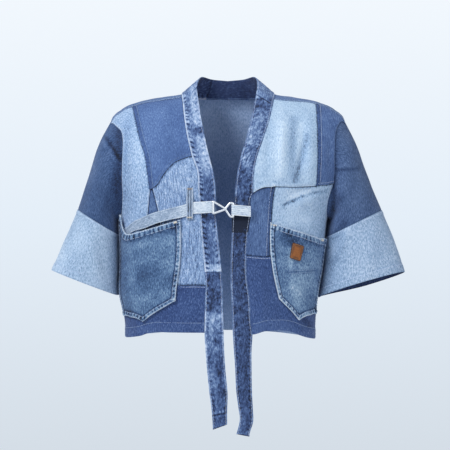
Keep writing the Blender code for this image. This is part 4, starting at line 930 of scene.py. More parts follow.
def sewn_relief(piece, names, places):
    """The relief and the tone that the seams of a piece give it, at places across and down."""
    relief = np.zeros(len(places))
    tone = np.zeros(len(places))
    for name in (n.lstrip("-") for n in names.split()):
        apart, run = (level_apart if name in HEM_PALE else near)(SEAMS[name], places)
        relief -= GROOVE * np.exp(-apart / GROOVE_WIDE)
        if name not in SEAM_STYLES:
            # painted shade in the groove of a seam that no piece laps
            tone -= GROOVE_SHADE * np.exp(-apart / GROOVE_WIDE)
            continue
        lap, wide, stand, pucker, _, worn = SEAM_STYLES[name]
        is_pocket = worn == POCKET_WORN
        pull = roping(run, seam_seed(name), *((POCKET_TICK, 0.75) if is_pocket else ()))
        if lap != piece:
            beside = bell(apart, BESIDE_LAP)
            relief += 0.5 * pucker * pull * beside
            shadow = bell(apart, SEAM_SHADE.get(name, EDGE_SHADE))
            tone += PUCKER_BELOW * pull * beside - LAP_SHADOW * shadow
            continue
        edge, flat = bell(apart, LAP_EDGE), turned_edge(apart, wide)
        relief += stand * flat + pucker * pull * flat
        if worn < 0:
            tone += worn * flat + PUCKER_ON * pull * flat
            continue
        tone += HEM_PALE.get(name, 0.0) * flat
        beyond = bell(apart - wide - BEYOND_EDGE, BEYOND_WIDE)
        if is_pocket:
            ticks = np.clip((pull + 0.10) / 0.60, 0, 1)
            fade = 0.75 + 0.45 * wobble(run, TICK_FADE, seam_seed(name) + 5)
            turned = POCKET_PALE - POCKET_TICKS * fade * ticks * (1 - RIM_HIDES * edge)
            tone += POCKET_RIM * edge + flat * turned - POCKET_BEYOND * beyond
            continue
        tone += worn * (RIM_PALE * edge + pull * (flat - RIM_HIDES * edge) - BEYOND_DARK * beyond)
    return relief, tone


def make_panel(name, held, names):
    """A piece of the body or a pocket, laid on the garment surface."""
    is_pocket = name in POCKETS
    seed = seam_seed(name)
    outline = closed_outline(sewn(names))
    if not is_pocket:
        outline = inset(outline, SEAM_GAP / 2)
    places, triangles = filled(outline, LATTICE, POCKET_EDGE_ROWS if is_pocket else ROWS)
    across, down = places.T
    flat = bare_surface(across, down)
    relief, tone = sewn_relief(name, names, places)
    tone = tone + cloth_tone(name, flat, across, down)
    if is_pocket:
        relief += 0.0006 * blotches(across, down, 0.018, 0.024, seed)
        tone = tone + 0.34 * blotches(across + 0.3 * down, down, 0.026, 0.018, seed + 9)
        lift = pocket_lift(across, down)
    else:
        lift = creases(flat, down >= 0) + 0.0006 * blotches(across, down, 0.020, 0.028, 7)
    middle, normals = surface(across, down, lift), outward(across, down)
    made = shell(f"{name}_cloth", middle, normals, triangles, relief, tone, places, cloths(name))
    declare(made, name, triangle_area(middle, triangles), held)


# ---------------------------------------------------------------------------------------------
# Stitches: each one is a small raised thread

THREADS = {}
STITCH, STITCH_GAP = 0.0026, 0.0009
STITCH_SHIFT = 0.0002  # how far a stitch may lie from its even place
STITCH_UNEVEN = (0.88, 1.08)  # shares of its length
THREAD_WIDE, THREAD_HIGH = 0.0010, 0.00050
THREAD_SIDE = 0.45  # how far a thread's sides lie below its top, per height
TACK_STEP, TACK_HIGH, TACK_LEAN = 0.0009, 0.0007, 0.25
# A stitch's rows: the share of its length, the level over the cloth and how narrow it is
STITCH_ROWS = ((0.0, -0.3, 0.55), (0.16, 0.75, 1.0), (0.5, 1.0, 1.0), (0.84, 0.75, 1.0), (1.0, -0.3, 0.55))


def thread(group, starts, stops, ups, wide=THREAD_WIDE, high=THREAD_HIGH):
    """Adds stitches to a group: from start to stop, standing along up."""
    along = stops - starts
    aside = np.cross(along, ups)
    aside *= (0.5 * wide / np.maximum(np.linalg.norm(aside, axis=1), CORNER))[:, None]
    rise = high * ups
    corners = []
    for share, level, narrow in STITCH_ROWS:
        middle = starts + share * along + level * rise
        side = THREAD_SIDE * rise
        corners += [middle - narrow * aside - side, middle, middle + narrow * aside - side]
    THREADS.setdefault(group, []).append(np.stack(corners, 1))


def stitch_row(group, points, ups, seed, length=STITCH, gap=STITCH_GAP):
    """A row of stitches along points, unevenly long."""
    runs = run_of(points)
    count = int(runs[-1] // (length + gap))
    if count < 1:
        return
    random = np.random.RandomState(seed)
    begin = (np.arange(count) + 0.5) * runs[-1] / count
    begin = begin + random.uniform(-STITCH_SHIFT, STITCH_SHIFT, count)
    half = 0.5 * length * random.uniform(*STITCH_UNEVEN, count)
    starts, stops = (stretch_rows(runs, points, at) for at in (begin - half, begin + half))
    thread(group, starts, stops, stretch_rows(runs, ups, begin))


def make_threads(shades):
    """Each group's stitches as one piece: five rows of three corners each, closed all round."""
    faces = [(0, 1, 2), (12, 14, 13)]
    for a in range(0, 12, 3):
        faces += [(a, a + 3, a + 1), (a + 1, a + 3, a + 4), (a + 1, a + 4, a + 2), (a + 2, a + 4, a + 5)]
        faces += [(a + 2, a + 5, a), (a, a + 5, a + 3)]
    faces = np.array(faces[2:] + faces[:2])
    for group, parts in THREADS.items():
        corners = np.concatenate(parts)
        all_faces = (faces[None] + 15 * np.arange(len(corners))[:, None, None]).reshape(-1, 3)
        material = shades[group.rsplit("_", 1)[1]]
        made = plain_mesh(group, corners.reshape(-1, 3).tolist(), all_faces.tolist(), material)
        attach(made, "root")


def bartack(group, middle, along, up, length, height):
    """A bar of close stitches that crosses a line of the given length."""
    count = int(length / TACK_STEP)
    along, up = along / np.linalg.norm(along), up / np.linalg.norm(up)
    across = np.cross(up, along)
    centres = middle + np.linspace(-0.5, 0.5, count)[:, None] * length * along
    lean = TACK_LEAN * height * along
    starts, stops = centres - 0.5 * height * across - lean, centres + 0.5 * height * across + lean
    thread(group, starts, stops, np.broadcast_to(up, starts.shape), TACK_STEP, TACK_HIGH)


def toward_inside(line, outline):
    """Unit steps square to a line, pointing into the outline."""
    along = np.gradient(line, axis=0)
    square = unit(np.stack([-along[:, 1], along[:, 0]], 1))
    trial = inside(outline, line + CLOTH * square).mean()
    return square if trial > 0.5 else -square


def stitch_edges(piece, names):
    """The topstitching of the seams at which a body piece or a pocket laps over."""
    is_pocket = piece in POCKETS
    outline = closed_outline(sewn(names))
    for name in (n.lstrip("-") for n in names.split()):
        if name not in SEAM_STYLES or SEAM_STYLES[name][0] != piece:
            continue
        for row, distance in enumerate(SEAM_STYLES[name][4]):
            if name in HEM_PALE:
                line = SEAMS[name] - distance * np.sign(SEAMS[name]) * (0, 1)
            else:
                line = SEAMS[name] + distance * toward_inside(SEAMS[name], outline)
                if is_pocket:
                    line = line[distance_to(outline, line) > 0.9 * distance]
                else:
                    line = line[near(SEAMS[name], line)[0] > 0.8 * distance]
            line = line[inside(outline, line)]
            relief, _ = sewn_relief(piece, names, line)
            across, down = line.T
            if is_pocket:
                relief += pocket_lift(across, down)
            else:
                relief += creases(bare_surface(across, down), down >= 0)
            points = surface(across, down, relief + 0.5 * CLOTH)
            group = f"stitches_{piece}_{THREAD_TINTS.get(name, 'pale')}"
            stitch_row(group, points, outward(across, down), seam_seed(name) + row)


# The threads that aren't pale
THREAD_TINTS = dict.fromkeys(("right_chest_side", "right_hem", "left_hem", "back_hem"), "sky")
BLUE_SEAMS = ("right_pocket_curve", "right_wedge_top", "left_armhole_strip", "left_armhole_side")
THREAD_TINTS.update(dict.fromkeys(BLUE_SEAMS, "blue"))


# ---------------------------------------------------------------------------------------------
# Tones: where a cloth is paler or darker than its base colour, from -1 to 1

# Most strokes below are painted shade and highlights: dark in creases, folds, armholes and under pocket
# mouths, pale on ridges
MOUTH_SHADE = [(-.2, -.3165, -.16, -.3035, .006, -2.2), (-.16, -.3035, -.108, -.29, .006, -2.2)]
TONES = {
    "back_panel": [
        (-.206, -.075, -.15, -.16, .009, .5), (-.19, -.072, -.138, -.15, .007, -.55),
        (.206, -.075, .15, -.16, .009, .5), (.222, -.09, .168, -.172, .007, -.55),
        (-.232, -.19, -.17, -.24, .006, -.7), (.232, -.19, .165, -.235, .006, -.7),
        (-.222, -.262, -.15, -.3, .007, .5), (.22, -.258, .145, -.31, .007, .5),
        (-.085, -.4, -.08, -.535, .008, .45), (-.1, -.41, -.096, -.535, .007, -.5),
        (.02, -.42, .025, -.535, .008, -.5), (.12, -.38, .128, -.535, .008, .5),
        (.136, -.39, .143, -.535, .006, -.5), (-.19, -.44, -.199, -.535, .009, .45),
        (-.16, -.085, .16, -.095, .045, .25),
    ],
    "front_left_chest": [
        (.126, -.075, .118, -.19, .012, .55), (.098, -.06, .085, -.19, .008, -.25),
        (.151, -.06, .147, -.19, .009, -.55), (.171, -.07, .164, -.15, .007, .45),
        (.184, -.1, .16, -.2, .006, -.8), (.166, -.168, .15, -.206, .004, -.9),
    ],
    "front_left_hem": [
        (.176, -.521, .189, -.54, .0085, -1.0), (.15, -.53, .172, -.548, .004, -.4),
    ],
    "front_right_side": [
        (-.238, -.08, -.24, -.24, .012, -.35), (-.205, -.12, -.2, -.26, .014, .25),
        *MOUTH_SHADE,
    ],
    "front_right_wedge": MOUTH_SHADE,
    "front_right_chest": [
        (-.18, -.05, -.16, -.16, .02, .15), (-.12, -.06, -.11, -.14, .016, -.2),
    ],
    "front_right_waist": [
        (-.15, -.2, -.1, -.23, .006, .35), (-.145, -.214, -.095, -.246, .005, -.3),
        (-.09, -.33, -.075, -.42, .03, -.32), (-.075, -.2, -.07, -.43, .006, -.25),
        *MOUTH_SHADE,
    ],
    "front_left_side": [
        (.14, -.235, .175, -.232, .012, .3), (.128, -.26, .15, -.249, .0035, -1.6),
        (.15, -.249, .172, -.2375, .0032, -1.4), (.172, -.2375, .231, -.224, .003, -1.0),
        (.14, -.247, .2, -.223, .004, .6), (.215, -.24, .225, -.33, .014, -.45),
        (.15, -.29, .19, -.29, .014, .2),
    ],
    "pocket_right": [
        (-.195, -.425, -.16, -.445, .034, -.42), (-.205, -.48, -.135, -.455, .016, .35),
        (-.225, -.35, -.215, -.48, .012, .4), (-.13, -.33, -.126, -.4, .01, .4),
        (-.2, -.35, -.15, -.34, .012, .3), (-.21, -.335, -.13, -.315, .01, -.4),
        (-.275, -.33, -.275, -.5, .02, -.2),
    ],
    "pocket_left": [
        (.163, -.42, .158, -.485, .018, .8), (.14, -.36, .146, -.45, .006, .5),
        (.128, -.33, .205, -.35, .012, -.6), (.136, -.352, .15, -.34, .01, -.9),
        (.185, -.385, .19, -.44, .016, .15), (.138, -.4138, .2, -.4113, .005, -.8),
    ],
    "sleeve_right_upper": [
        (-.256, -.075, -.256, -.26, .013, -.9), (-.285, -.102, -.254, -.15, .004, -1.4),
        (-.293, -.108, -.262, -.156, .004, .5), (-.3, -.11, -.32, -.19, .016, .3),
        (-.262, -.2, -.3, -.3, .014, -.4),
    ],
    "sleeve_left_upper": [
        (.252, -.085, .247, -.27, .006, -1.0), (.256, -.1765, .307, -.1726, .0035, -.9),
        (.262, -.168, .3, -.165, .005, .4), (.272, -.3, .252, -.335, .01, -.7),
        (.24, -.29, .262, -.24, .01, -.8),
    ],
    "sleeve_right_cuff": [
        (-.264, -.33, -.264, -.46, .008, -.5), (-.3, -.34, -.312, -.44, .02, .2),
    ],
    "sleeve_left_cuff": [
        (.244, -.33, .226, -.46, .02, -.7), (.27, -.33, .25, -.39, .01, -.5),
        (.31, -.33, .32, -.43, .02, .25), (.243, -.372, .282, -.318, .012, .45),
    ],
}


def uneven(u, v, seed, broad, fine):
    """Blotches of two sizes: broad and fine give each one's strength and its periods."""
    (strong, *periods), (weak, *small) = broad, fine
    return strong * blotches(u, v, *periods, seed + 3) + weak * blotches(u, v, *small, seed + 4)


def cloth_tone(name, points, across, down):
    """The strokes of a piece, mostly painted shade and painted highlights, and its uneven wear."""
    tone = uneven(across, down, seam_seed(name), (0.22, 0.050, 0.070), (0.16, 0.014, 0.022))
    if name in TONES:
        tone += stroke_tone(points, ridges(TONES[name]))
    return tone


# ---------------------------------------------------------------------------------------------
# Sleeves


def grid_triangles(rows, columns, closed):
    """Triangles of a grid, row by row; a closed one joins its last column to its first."""
    row, column = np.meshgrid(np.arange(rows - 1), np.arange(columns - (not closed)), indexing="ij")
    a = (row * columns + column).ravel()
    b = (row * columns + (column + 1) % columns).ravel()
    return np.concatenate([np.stack([a, b, b + columns], 1), np.stack([a, b + columns, a + columns], 1)])


def grid_normals(grid, closed):
    along = np.gradient(grid, axis=0)
    if closed:
        about = np.roll(grid, -1, axis=1) - np.roll(grid, 1, axis=1)
    else:
        about = np.gradient(grid, axis=1)
    return unit(np.cross(about, along))


def grid_cloth(node, grid, normals, triangles, relief, tone, cut, held, thickness=CLOTH):
    """A cloth made from a grid of points, in place of its solid."""
    points = grid.reshape(-1, 3)
    face = (points, normals.reshape(-1, 3), triangles, relief.ravel(), tone.ravel(), cut.reshape(-1, 2))
    made = shell(f"{node}_cloth", *face, cloths(node), thickness)
    declare(made, node, triangle_area(points, triangles), held)


SLEEVE_CREASES = ridges([
    (-.262, -.096, -.292, -.15, .006, -.003), (-.275, -.088, -.3, -.14, .008, .003),
    (-.29, -.18, -.262, -.27, .01, .0025), (-.32, -.2, -.275, -.3, .012, -.0025),
    (-.34, -.29, -.3, -.43, .014, .0025), (-.3, -.34, -.28, -.45, .01, -.002),
    (.25, -.178, .305, -.176, .005, -.003), (.262, -.16, .312, -.162, .007, .0025),
    (.255, -.215, .29, -.27, .009, .0025), (.268, -.31, .23, -.38, .008, -.003),
    (.285, -.305, .25, -.4, .009, .003), (.34, -.29, .33, -.43, .015, .002),
])
SLEEVE_BACK_CREASES = ridges([
    (-.262, -.12, -.33, -.23, .012, .004), (-.262, -.2, -.31, -.27, .008, -.003),
    (-.3, -.3, -.31, -.44, .014, .003), (.262, -.12, .33, -.23, .012, .004),
    (.258, -.2, .3, -.27, .008, -.003), (.29, -.3, .3, -.44, .014, .003),
])
CUFF_HEM = 0.0190
# Lines along a sleeve's end, each by how far in or past its turned edge it is and how wide
END_RIM, END_BEYOND = (0.0022, 0.0016), (0.0012, 0.0014)
# Strengths of tone at an end: painted shade in its groove, its pale worn rim, its puckers, and the dark
# line past its turned edge
END_GROOVE_SHADE, END_RIM_PALE, END_PUCKER, END_BEYOND_DARK = 0.55, 0.9, 0.7, 0.6
UNDERARM_WIDE = 0.0012
CREASE_FADE = 0.012  # length below its top over which its creases begin
PLAIN_END = (0.001, 0.0, 0.0, (), 0.0)
CUFF_TOP = (0.010, 0.0007, 0.0003, (0.0025,), 0.30)
CUFF_FOOT = (CUFF_HEM, 0.0008, 0.0004, (CUFF_HEM - 0.0015,), 0.40)


def tube_cloth(node, grid, turns, top, foot):
    """A sleeve piece from a grid of rings. top and foot say how each end is sewn, as in SEWN_SO."""
    rows, around = grid.shape[:2]
    normals = grid_normals(grid, True)
    triangles = grid_triangles(rows, around, True)
    facing_out = 1
    if ((grid - grid.mean(axis=1, keepdims=True)) * normals).sum() <= 0:
        facing_out = -1
        normals, triangles = -normals, triangles[:, ::-1]
    steps = np.linalg.norm(np.diff(grid, axis=0), axis=2)
    from_top = np.vstack([np.zeros(around), np.cumsum(steps, axis=0)])
    to_foot = from_top[-1] - from_top
    round_it = float(np.linalg.norm(np.diff(grid[rows // 2], axis=0), axis=1).sum())
    signed = np.where(turns < 0.5, turns, turns - 1)
    cut = np.stack([np.broadcast_to(signed * round_it, (rows, around)), -from_top], 2)

    run = np.broadcast_to(turns * round_it, (rows, around))
    seed = seam_seed(node)
    relief = 0.0005 * blotches(cut[..., 0], cut[..., 1], 0.022, 0.030, seed)
    broad = (0.32 if "cuff" in node else 0.20, 0.040, 0.060)
    tone = uneven(cut[..., 0], cut[..., 1], seed, broad, (0.14, 0.014, 0.022))
    ends = ((from_top, top, 1), (to_foot, foot, 2))
    for apart, (wide, stand, pucker, _, worn), number in ends:
        roll = np.exp(-apart / GROOVE_WIDE)
        relief = relief - GROOVE * roll
        # painted shade in the groove at the end
        tone = tone - END_GROOVE_SHADE * roll
        pull = roping(run, seed + 10 * number)
        flat = turned_edge(apart, wide)
        relief = relief + (stand + pucker * pull) * flat
        rim = bell(apart - END_RIM[0], END_RIM[1])
        beyond = bell(apart - wide - END_BEYOND[0], END_BEYOND[1])
        tone = tone + worn * (END_RIM_PALE * rim + END_PUCKER * pull * flat)
        tone = tone - END_BEYOND_DARK * worn * beyond * (stand > 0)
    underarm = np.minimum(np.abs(turns - 0.5), 1) * round_it
    under = bell(underarm, UNDERARM_WIDE)
    relief = relief - GROOVE * under
    # painted shade in the groove of the underarm seam
    tone = tone - GROOVE_SHADE * under
    facing = normals[..., 1]
    front = np.clip(-facing * 2, 0, 1) * fold_height(grid, SLEEVE_CREASES)
    back = np.clip(facing * 2, 0, 1) * fold_height(grid, SLEEVE_BACK_CREASES)
    fade = np.clip(from_top / CREASE_FADE, 0, 1)
    grid = grid + ((front + back) * fade)[..., None] * normals
    normals = facing_out * grid_normals(grid, True)
    # the front's strokes: painted shade near the armhole and in creases, painted highlights beside them
    if node in TONES:
        strokes = stroke_tone(grid.reshape(-1, 3), ridges(TONES[node])).reshape(rows, around)
        tone = tone + strokes * np.clip(-facing * 3, 0, 1)
    widest = max(float(np.linalg.norm(np.diff(ring, axis=0), axis=1).sum()) for ring in grid)
    grid_cloth(node, grid, normals, triangles, relief, tone, cut, "stretched")
    for apart, (_, _, _, stitch_rows, _), number in ends:
        for row, distance in enumerate(stitch_rows):
            at = np.abs(apart - distance).argmin(axis=0)
            pick = (at, np.arange(around))
            raised = grid[pick] + (0.5 * CLOTH + relief[pick])[:, None] * normals[pick]
            loop = np.vstack([raised, raised[:1]])
            ups = np.vstack([normals[pick], normals[pick][:1]])
            stitch_row(f"stitches_{node}_pale", smooth_line(loop), ups, seed + 20 * number + row)


def smooth_line(points, times=3):
    """The points of a line evened out, its ends kept."""
    points = np.array(points)
    for _ in range(times):
        evened(points)
    return points


# How far each sleeve's lower back leans in, by its run:
# 0 at the armhole, 1 at the cuff's seam, 2 at its edge
SLEEVE_LEAN_RUN = (0.0, 0.06, 0.20, 1.0, 2.0)
SLEEVE_LEAN = {
    "right": (0.0, 0.0015, 0.0051, 0.0095, 0.0150),
    "left": (0.0, 0.0070, 0.0100, 0.0120, 0.0155),
}
# How far the first rings are tucked in at the armhole, and how deep they lie behind it
TUCKED = ((0.005, 0.0024), (0.0025, 0.0022), (0.0, 0.0020))
SEAM_APART = 0.0003  # between a sleeve and its cuff, by the run
SLEEVE_START = 0.035  # the run of the first ring of its own
LEAN_STARTS, LEAN_ENDS = (0.50, 0.58), (0.64, 0.78)  # turns between which the lower back lies


def make_sleeves():
    every, rows = ((2, 56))
    for side, sections, front_names, sign in (
        ("right", RIGHT_SLEEVE, ["right_armhole"], -1),
        ("left", LEFT_SLEEVE, ["left_armhole_strip", "left_armhole_side"], 1),
    ):
        names = (front_names, f"back_armhole_{side}")
        ring, turns = armhole_ring(*names)
        at = sleeve_rings(sections, ring, turns)
        places = np.concatenate(armhole_places(*names))
        upper = []
        for inwards, depth in TUCKED:
            moved = places - np.array([sign * inwards, 0])
            upper.append(surface(moved[:, 0], moved[:, 1], -depth))
        upper += [at(run) for run in np.linspace(SLEEVE_START, 1 - SEAM_APART, rows)]
        cuff = [at(run) for run in np.linspace(1 + SEAM_APART, 2, int(0.75 * rows))]
        turns = turns[::every]
        behind = smooth_step(*LEAN_STARTS, turns) * (1 - smooth_step(*LEAN_ENDS, turns))
        for piece, rings, start, top, foot in (
            ("upper", upper, 0.0, PLAIN_END, PLAIN_END),
            ("cuff", cuff, 1.0, CUFF_TOP, CUFF_FOOT),
        ):
            grid = np.array(rings)[:, ::every]
            lean = np.interp(np.linspace(start, start + 1, len(grid)), SLEEVE_LEAN_RUN, SLEEVE_LEAN[side])
            grid[..., 0] -= sign * lean[:, None] * behind
            tube_cloth(f"sleeve_{side}_{piece}", grid, turns, top, foot)


# ---------------------------------------------------------------------------------------------
# The band


BAND_COLUMNS = 16
BAND_STITCH_IN = 0.0030  # the stitch rows' distance from both edges
BAND_GAP = 0.0001  # half the gap between two of its pieces
BAND_ROW_APART = 0.0008  # rows nearer than this to a join give way to the join's own
NECK_LAP_FADE = (0.095, 0.125)  # lengths from the centre back over which its lap ends
BAND_EVENED = 30  # how often its direction is evened out
TICKS_START = (0.0030, 0.0045)  # distances from its edge over which its ticks begin
TICKS_HIGH = 0.0009
RIM_WIDE = 0.0020  # its pale rim
RIM_LINE, RIM_LINE_WIDE = 0.0036, 0.0009  # the dark line inside the rim
STITCH_SUNK, STITCH_SUNK_WIDE = 0.0004, 0.0012  # how deep its stitches pull it in, and how widely
# A piece's end: how far it is swollen and over what length, its dark rim of painted shade in the join, and
# the pale line inside it
END_SWELL, END_SWELL_LONG, END_SHADE_WIDE = 0.0006, 0.008, 0.0015
END_PALE, END_PALE_WIDE = 0.004, 0.002
FRAYED_FROM_Z, FRAYED_TO_Z = (-0.416, -0.408), (-0.300, -0.290)  # on the right half's lower piece
SHADE_FROM_Z, SHADE_TO_Z = (-0.324, -0.314), (-0.290, -0.282)  # the painted shadow under the strap, on the left half
BEHIND_NECK_Z = (0.000, 0.030)  # heights over which its pale rim fades
# How pale the old waistbands are by height, along the half next to the seam and along the free half; the
# darkest rows, just under the belt on the right half and under the strap on the left half, are painted
# shadow
RIGHT_BAND_TONES = table("z seam free", [
    (-.79, -1.0, -.9), (-.745, -.9, -.9), (-.72, -.7, -1.0), (-.6, -.3, -.8), (-.552, .1, -.4),
    (-.54, .5, .1), (-.51, .6, .2), (-.5, -.9, -.9), (-.417, -1.0, -1.0), (-.411, .6, .8),
    (-.398, .7, .9), (-.392, -.5, -.2), (-.32, -.6, -.1), (-.302, -.7, -.5), (-.293, -1.4, -1.4),
    (-.282, -1.4, -1.4), (-.276, -.3, 0.0), (-.245, -.4, -.8), (-.205, -.1, -.5), (-.17, .2, .8),
    (-.105, -.1, 1.0), (-.094, -.4, -.6), (-.08, -.4, -.5), (-.072, 0.0, 1.1), (.016, -.1, .9),
    (.03, -.3, .1), (.05, -.4, -.1),
])
LEFT_BAND_TONES = table("z seam free", [
    (-.79, -.9, -.8), (-.7, -1.2, -1.05), (-.5, -1.2, -1.0), (-.34, -1.15, -1.3), (-.324, -1.4, -1.4),
    (-.314, -3.4, -3.4), (-.29, -3.6, -3.6), (-.28, -1.2, -1.0), (-.23, -.9, -.7), (-.18, -.5, -.5),
    (-.15, -.2, .1), (-.055, -.2, .2), (-.04, -.8, -.6), (-.01, -.9, -.8), (-.004, -.1, .2),
    (.05, -.4, -.1),
])
# Each piece's ticks beside its seam edge (their period, their strength and how far in they reach),
# how pale its seam edge and its free edge are, and how mottled it is
BAND_WEAR = {
    "band_right_end": (0.0105, 0.3, 0.008, 1.4, 1.4, 0.20),
    "band_right_lower": (0.0105, 0.9, 0.010, 1.7, 1.4, 0.42),
    "band_right_upper": (0.0118, 2.2, 0.0120, 2.6, 0.5, 0.34),
    "band_neck": (0.0105, 0.5, 0.010, 0.8, 0.6, 0.20),
    "band_left_upper": (0.0070, 1.0, 0.0130, 0.2, 0.3, 0.50),
    "band_left_lower": (0.0105, 1.2, 0.0095, 1.4, 1.5, 0.27),
}


def band_relief(name, run, from_seam, from_free, wide, z, seed):
    """Relief and tone of the doubled band: edges rolled, stitched and roped, worn as by its height, with
    painted shadow under the straps.
    """
    period, strength, reach, seam_edge, free_edge, mottle = BAND_WEAR[name]
    relief = 0.0006 * np.sin(math.pi * np.clip(from_seam / wide, 0, 1))
    tones = RIGHT_BAND_TONES if "right" in name else LEFT_BAND_TONES
    by_seam, by_free = (np.interp(z, tones["z"], tones[half]) for half in ("seam", "free"))
    tone = by_seam + (by_free - by_seam) * smooth_step(0.35, 0.65, from_seam / wide)
    in_shade = np.zeros_like(z)
    frayed = 1.0
    if name == "band_right_lower":
        frayed = 1 + 1.8 * smooth_step(*FRAYED_FROM_Z, z) * (1 - smooth_step(*FRAYED_TO_Z, z))
    # under the strap the left half's tone table paints shadow, and its ticks and rims fade there
    if name.startswith("band_left"):
        in_shade = smooth_step(*SHADE_FROM_Z, z) * (1 - smooth_step(*SHADE_TO_Z, z))
    tone = tone + mottle * frayed * blotches(run, from_seam, 0.007, 0.006, seed + 4)
    crumple = blotches(run + 1.2 * from_seam, from_seam - 0.35 * run, 0.0095, 0.0036, seed + 6)
    relief = relief + 0.0003 * crumple
    tone = tone + 1.8 * mottle * crumple
    tone = tone + 0.7 * mottle * blotches(run, from_seam, 0.020, 0.012, seed + 5)
    for apart, part, pale, share in ((from_seam, 1, seam_edge, 1.0), (from_free, 2, free_edge, 0.45)):
        pull = roping(run + 0.4 * apart, seed + part, period)
        ticked = smooth_step(*TICKS_START, apart) * (1 - smooth_step(0.75 * reach, reach, apart))
        relief += share * TICKS_HIGH * pull * ticked
        relief -= STITCH_SUNK * bell(apart - BAND_STITCH_IN, STITCH_SUNK_WIDE)
        ticks = np.clip((pull - 0.05) / 0.45, 0, 1)
        tone -= share * strength / frayed * (ticks - 0.25) * ticked * (1 - in_shade)
        rim = pale * bell(apart, RIM_WIDE) - 0.5 * bell(apart - RIM_LINE, RIM_LINE_WIDE)
        tone += rim * (1 - 0.7 * in_shade) * (1 - 0.8 * smooth_step(*BEHIND_NECK_Z, z))
    return relief, tone


def make_band():
    right, left = band_edges(-1), band_edges(1)
    seam_edge, free_edge = (np.concatenate([one[::-1], other[1:]]) for one, other in zip(right, left))
    middle_line = 0.5 * (seam_edge + free_edge)
    runs = run_of(middle_line)
    share = np.linspace(0, 1, BAND_COLUMNS + 1)
    share = 0.5 - 0.5 * np.cos(math.pi * share) * (0.35 + 0.65 * np.abs(2 * share - 1))
    grid = seam_edge[:, None] * (1 - share[:, None]) + free_edge[:, None] * share[:, None]
    along = smooth_line(np.gradient(grid, axis=0), BAND_EVENED)
    normals = unit(np.cross(np.gradient(grid, axis=1), along))
    wide = np.linalg.norm(free_edge - seam_edge, axis=1)[:, None]
    from_seam, from_free = share * wide, (1 - share) * wide
    centre_back = runs[len(right[0]) - 1]
    behind = (1 - smooth_step(*NECK_LAP_FADE, np.abs(runs - centre_back)))[:, None]
    grid[:, 0] += NECK_LAP * behind * unit(seam_edge - free_edge) + NECK_LAP_OUT * behind * normals[:, 0]
    joins = [
        run_where(middle_line, RIGHT_END_JOIN_Z, -1),
        run_where(middle_line, RIGHT_BAND_JOIN_Z, -1),
        centre_back - BAND_NECK_JOIN,
        run_where(middle_line, LEFT_NECK_JOIN_Z, 1),
        run_where(middle_line, LEFT_BAND_JOIN_Z, 1),
    ]
    for number, (name, start, stop) in enumerate(zip(BAND_PIECES, [runs[0]] + joins, joins + [runs[-1]])):
        seed = 300 + 17 * number
        picked = (runs > start + BAND_ROW_APART) & (runs < stop - BAND_ROW_APART)
        at = np.concatenate([[start + BAND_GAP], runs[picked], [stop - BAND_GAP]])
        rows, ups, seam_side, free_side, breadth = (
            stretch_rows(runs, values, at) for values in (grid, normals, from_seam, from_free, wide)
        )
        ups = unit(ups)
        run = np.broadcast_to(at[:, None], seam_side.shape)
        relief, tone = band_relief(name, run, seam_side, free_side, breadth, rows[..., 2], seed)
        ends = np.minimum(at - at[0], at[-1] - at)[:, None]
        swell = END_SWELL * np.exp(-((ends / END_SWELL_LONG) ** 4))
        relief = relief - GROOVE * np.exp(-ends / GROOVE_WIDE) + swell
        # painted shade at both ends, in the join with the next piece
        tone = tone - 1.2 * np.exp(-ends / END_SHADE_WIDE) + 0.5 * bell(ends - END_PALE, END_PALE_WIDE)
        triangles = grid_triangles(*rows.shape[:2], False)
        cut = np.stack([seam_side, run], 2)
        edge = np.minimum(seam_side, free_side).ravel()
        thick = BAND_CLOTH * (1 - 0.45 * bell(edge, 0.0012))
        grid_cloth(name, rows, ups, triangles, relief, tone, cut, "hung", thick)
        for side in (seam_side, free_side):
            line = []
            for i in range(len(at)):
                j = np.argsort(side[i])
                height = np.interp(BAND_STITCH_IN, side[i][j], (0.5 * BAND_CLOTH + relief[i])[j])
                place = [np.interp(BAND_STITCH_IN, side[i][j], rows[i, :, k][j]) for k in range(3)]
                line.append(np.array(place) + height * ups[i, BAND_COLUMNS // 2])
            group = f"stitches_{name}_pale"
            stitch_row(group, smooth_line(line, 1), ups[:, BAND_COLUMNS // 2], seed + 9)


# ---------------------------------------------------------------------------------------------
# Pockets, label, strap, loop and buckle

# Each pocket's sides in order, and how its points are given
POCKETS = {
    "pocket_right": ("mouth outer foot_outer foot_inner inner", RIGHT_POCKET, round_the_side),
    "pocket_left": ("inner foot_inner foot_outer outer mouth", LEFT_POCKET, on_front),
}
POCKET_EDGE_ROWS = (.0009, .0022, .004, .0058, .0076, .0094, .0112, .013)
# How wide a pocket's turned edge is and where its stitch rows are: at its mouth, and elsewhere
MOUTH, OTHER_SIDE = (0.0135, (0.0018, 0.0120)), (0.0095, (0.0018, 0.0082))


def make_pockets():
    for name, (order, sides, find) in POCKETS.items():
        names = [f"{name}_{side}" for side in order.split()]
        for seam_name, side in zip(names, sides):
            wide, rows = MOUTH if seam_name.endswith("mouth") else OTHER_SIDE
            SEAMS[seam_name] = seam(side, STEP, find)
            SEAM_STYLES[seam_name] = (name, wide, 0.0010, 0.0009, rows, POCKET_WORN)
        make_panel(name, "stretched", " ".join(names))
        stitch_edges(name, " ".join(names))


# Each bar's x, z and slope
POCKET_TACKS = [(-0.1175, -0.2985, 0.27), (0.1030, -0.3060, -0.30), (0.2165, -0.3400, -0.30)]
POCKET_TACK = (0.0120, 0.0054)  # length and height
TACK_RAISED = 0.0012
TACK_AHEAD = 0.004  # how far along its slope a bar is aimed
ROW_RAISED = 0.0003
POCKET_ROWS = [(.138, -.411, .2, -.4085), (.138, -.4165, .2, -.414)]


def on_pocket(x, z, lift):
    across, down = np.array([on_front(x, z)]).T
    return surface(across, down, pocket_lift(across, down) + lift)[0], outward(across, down)[0]


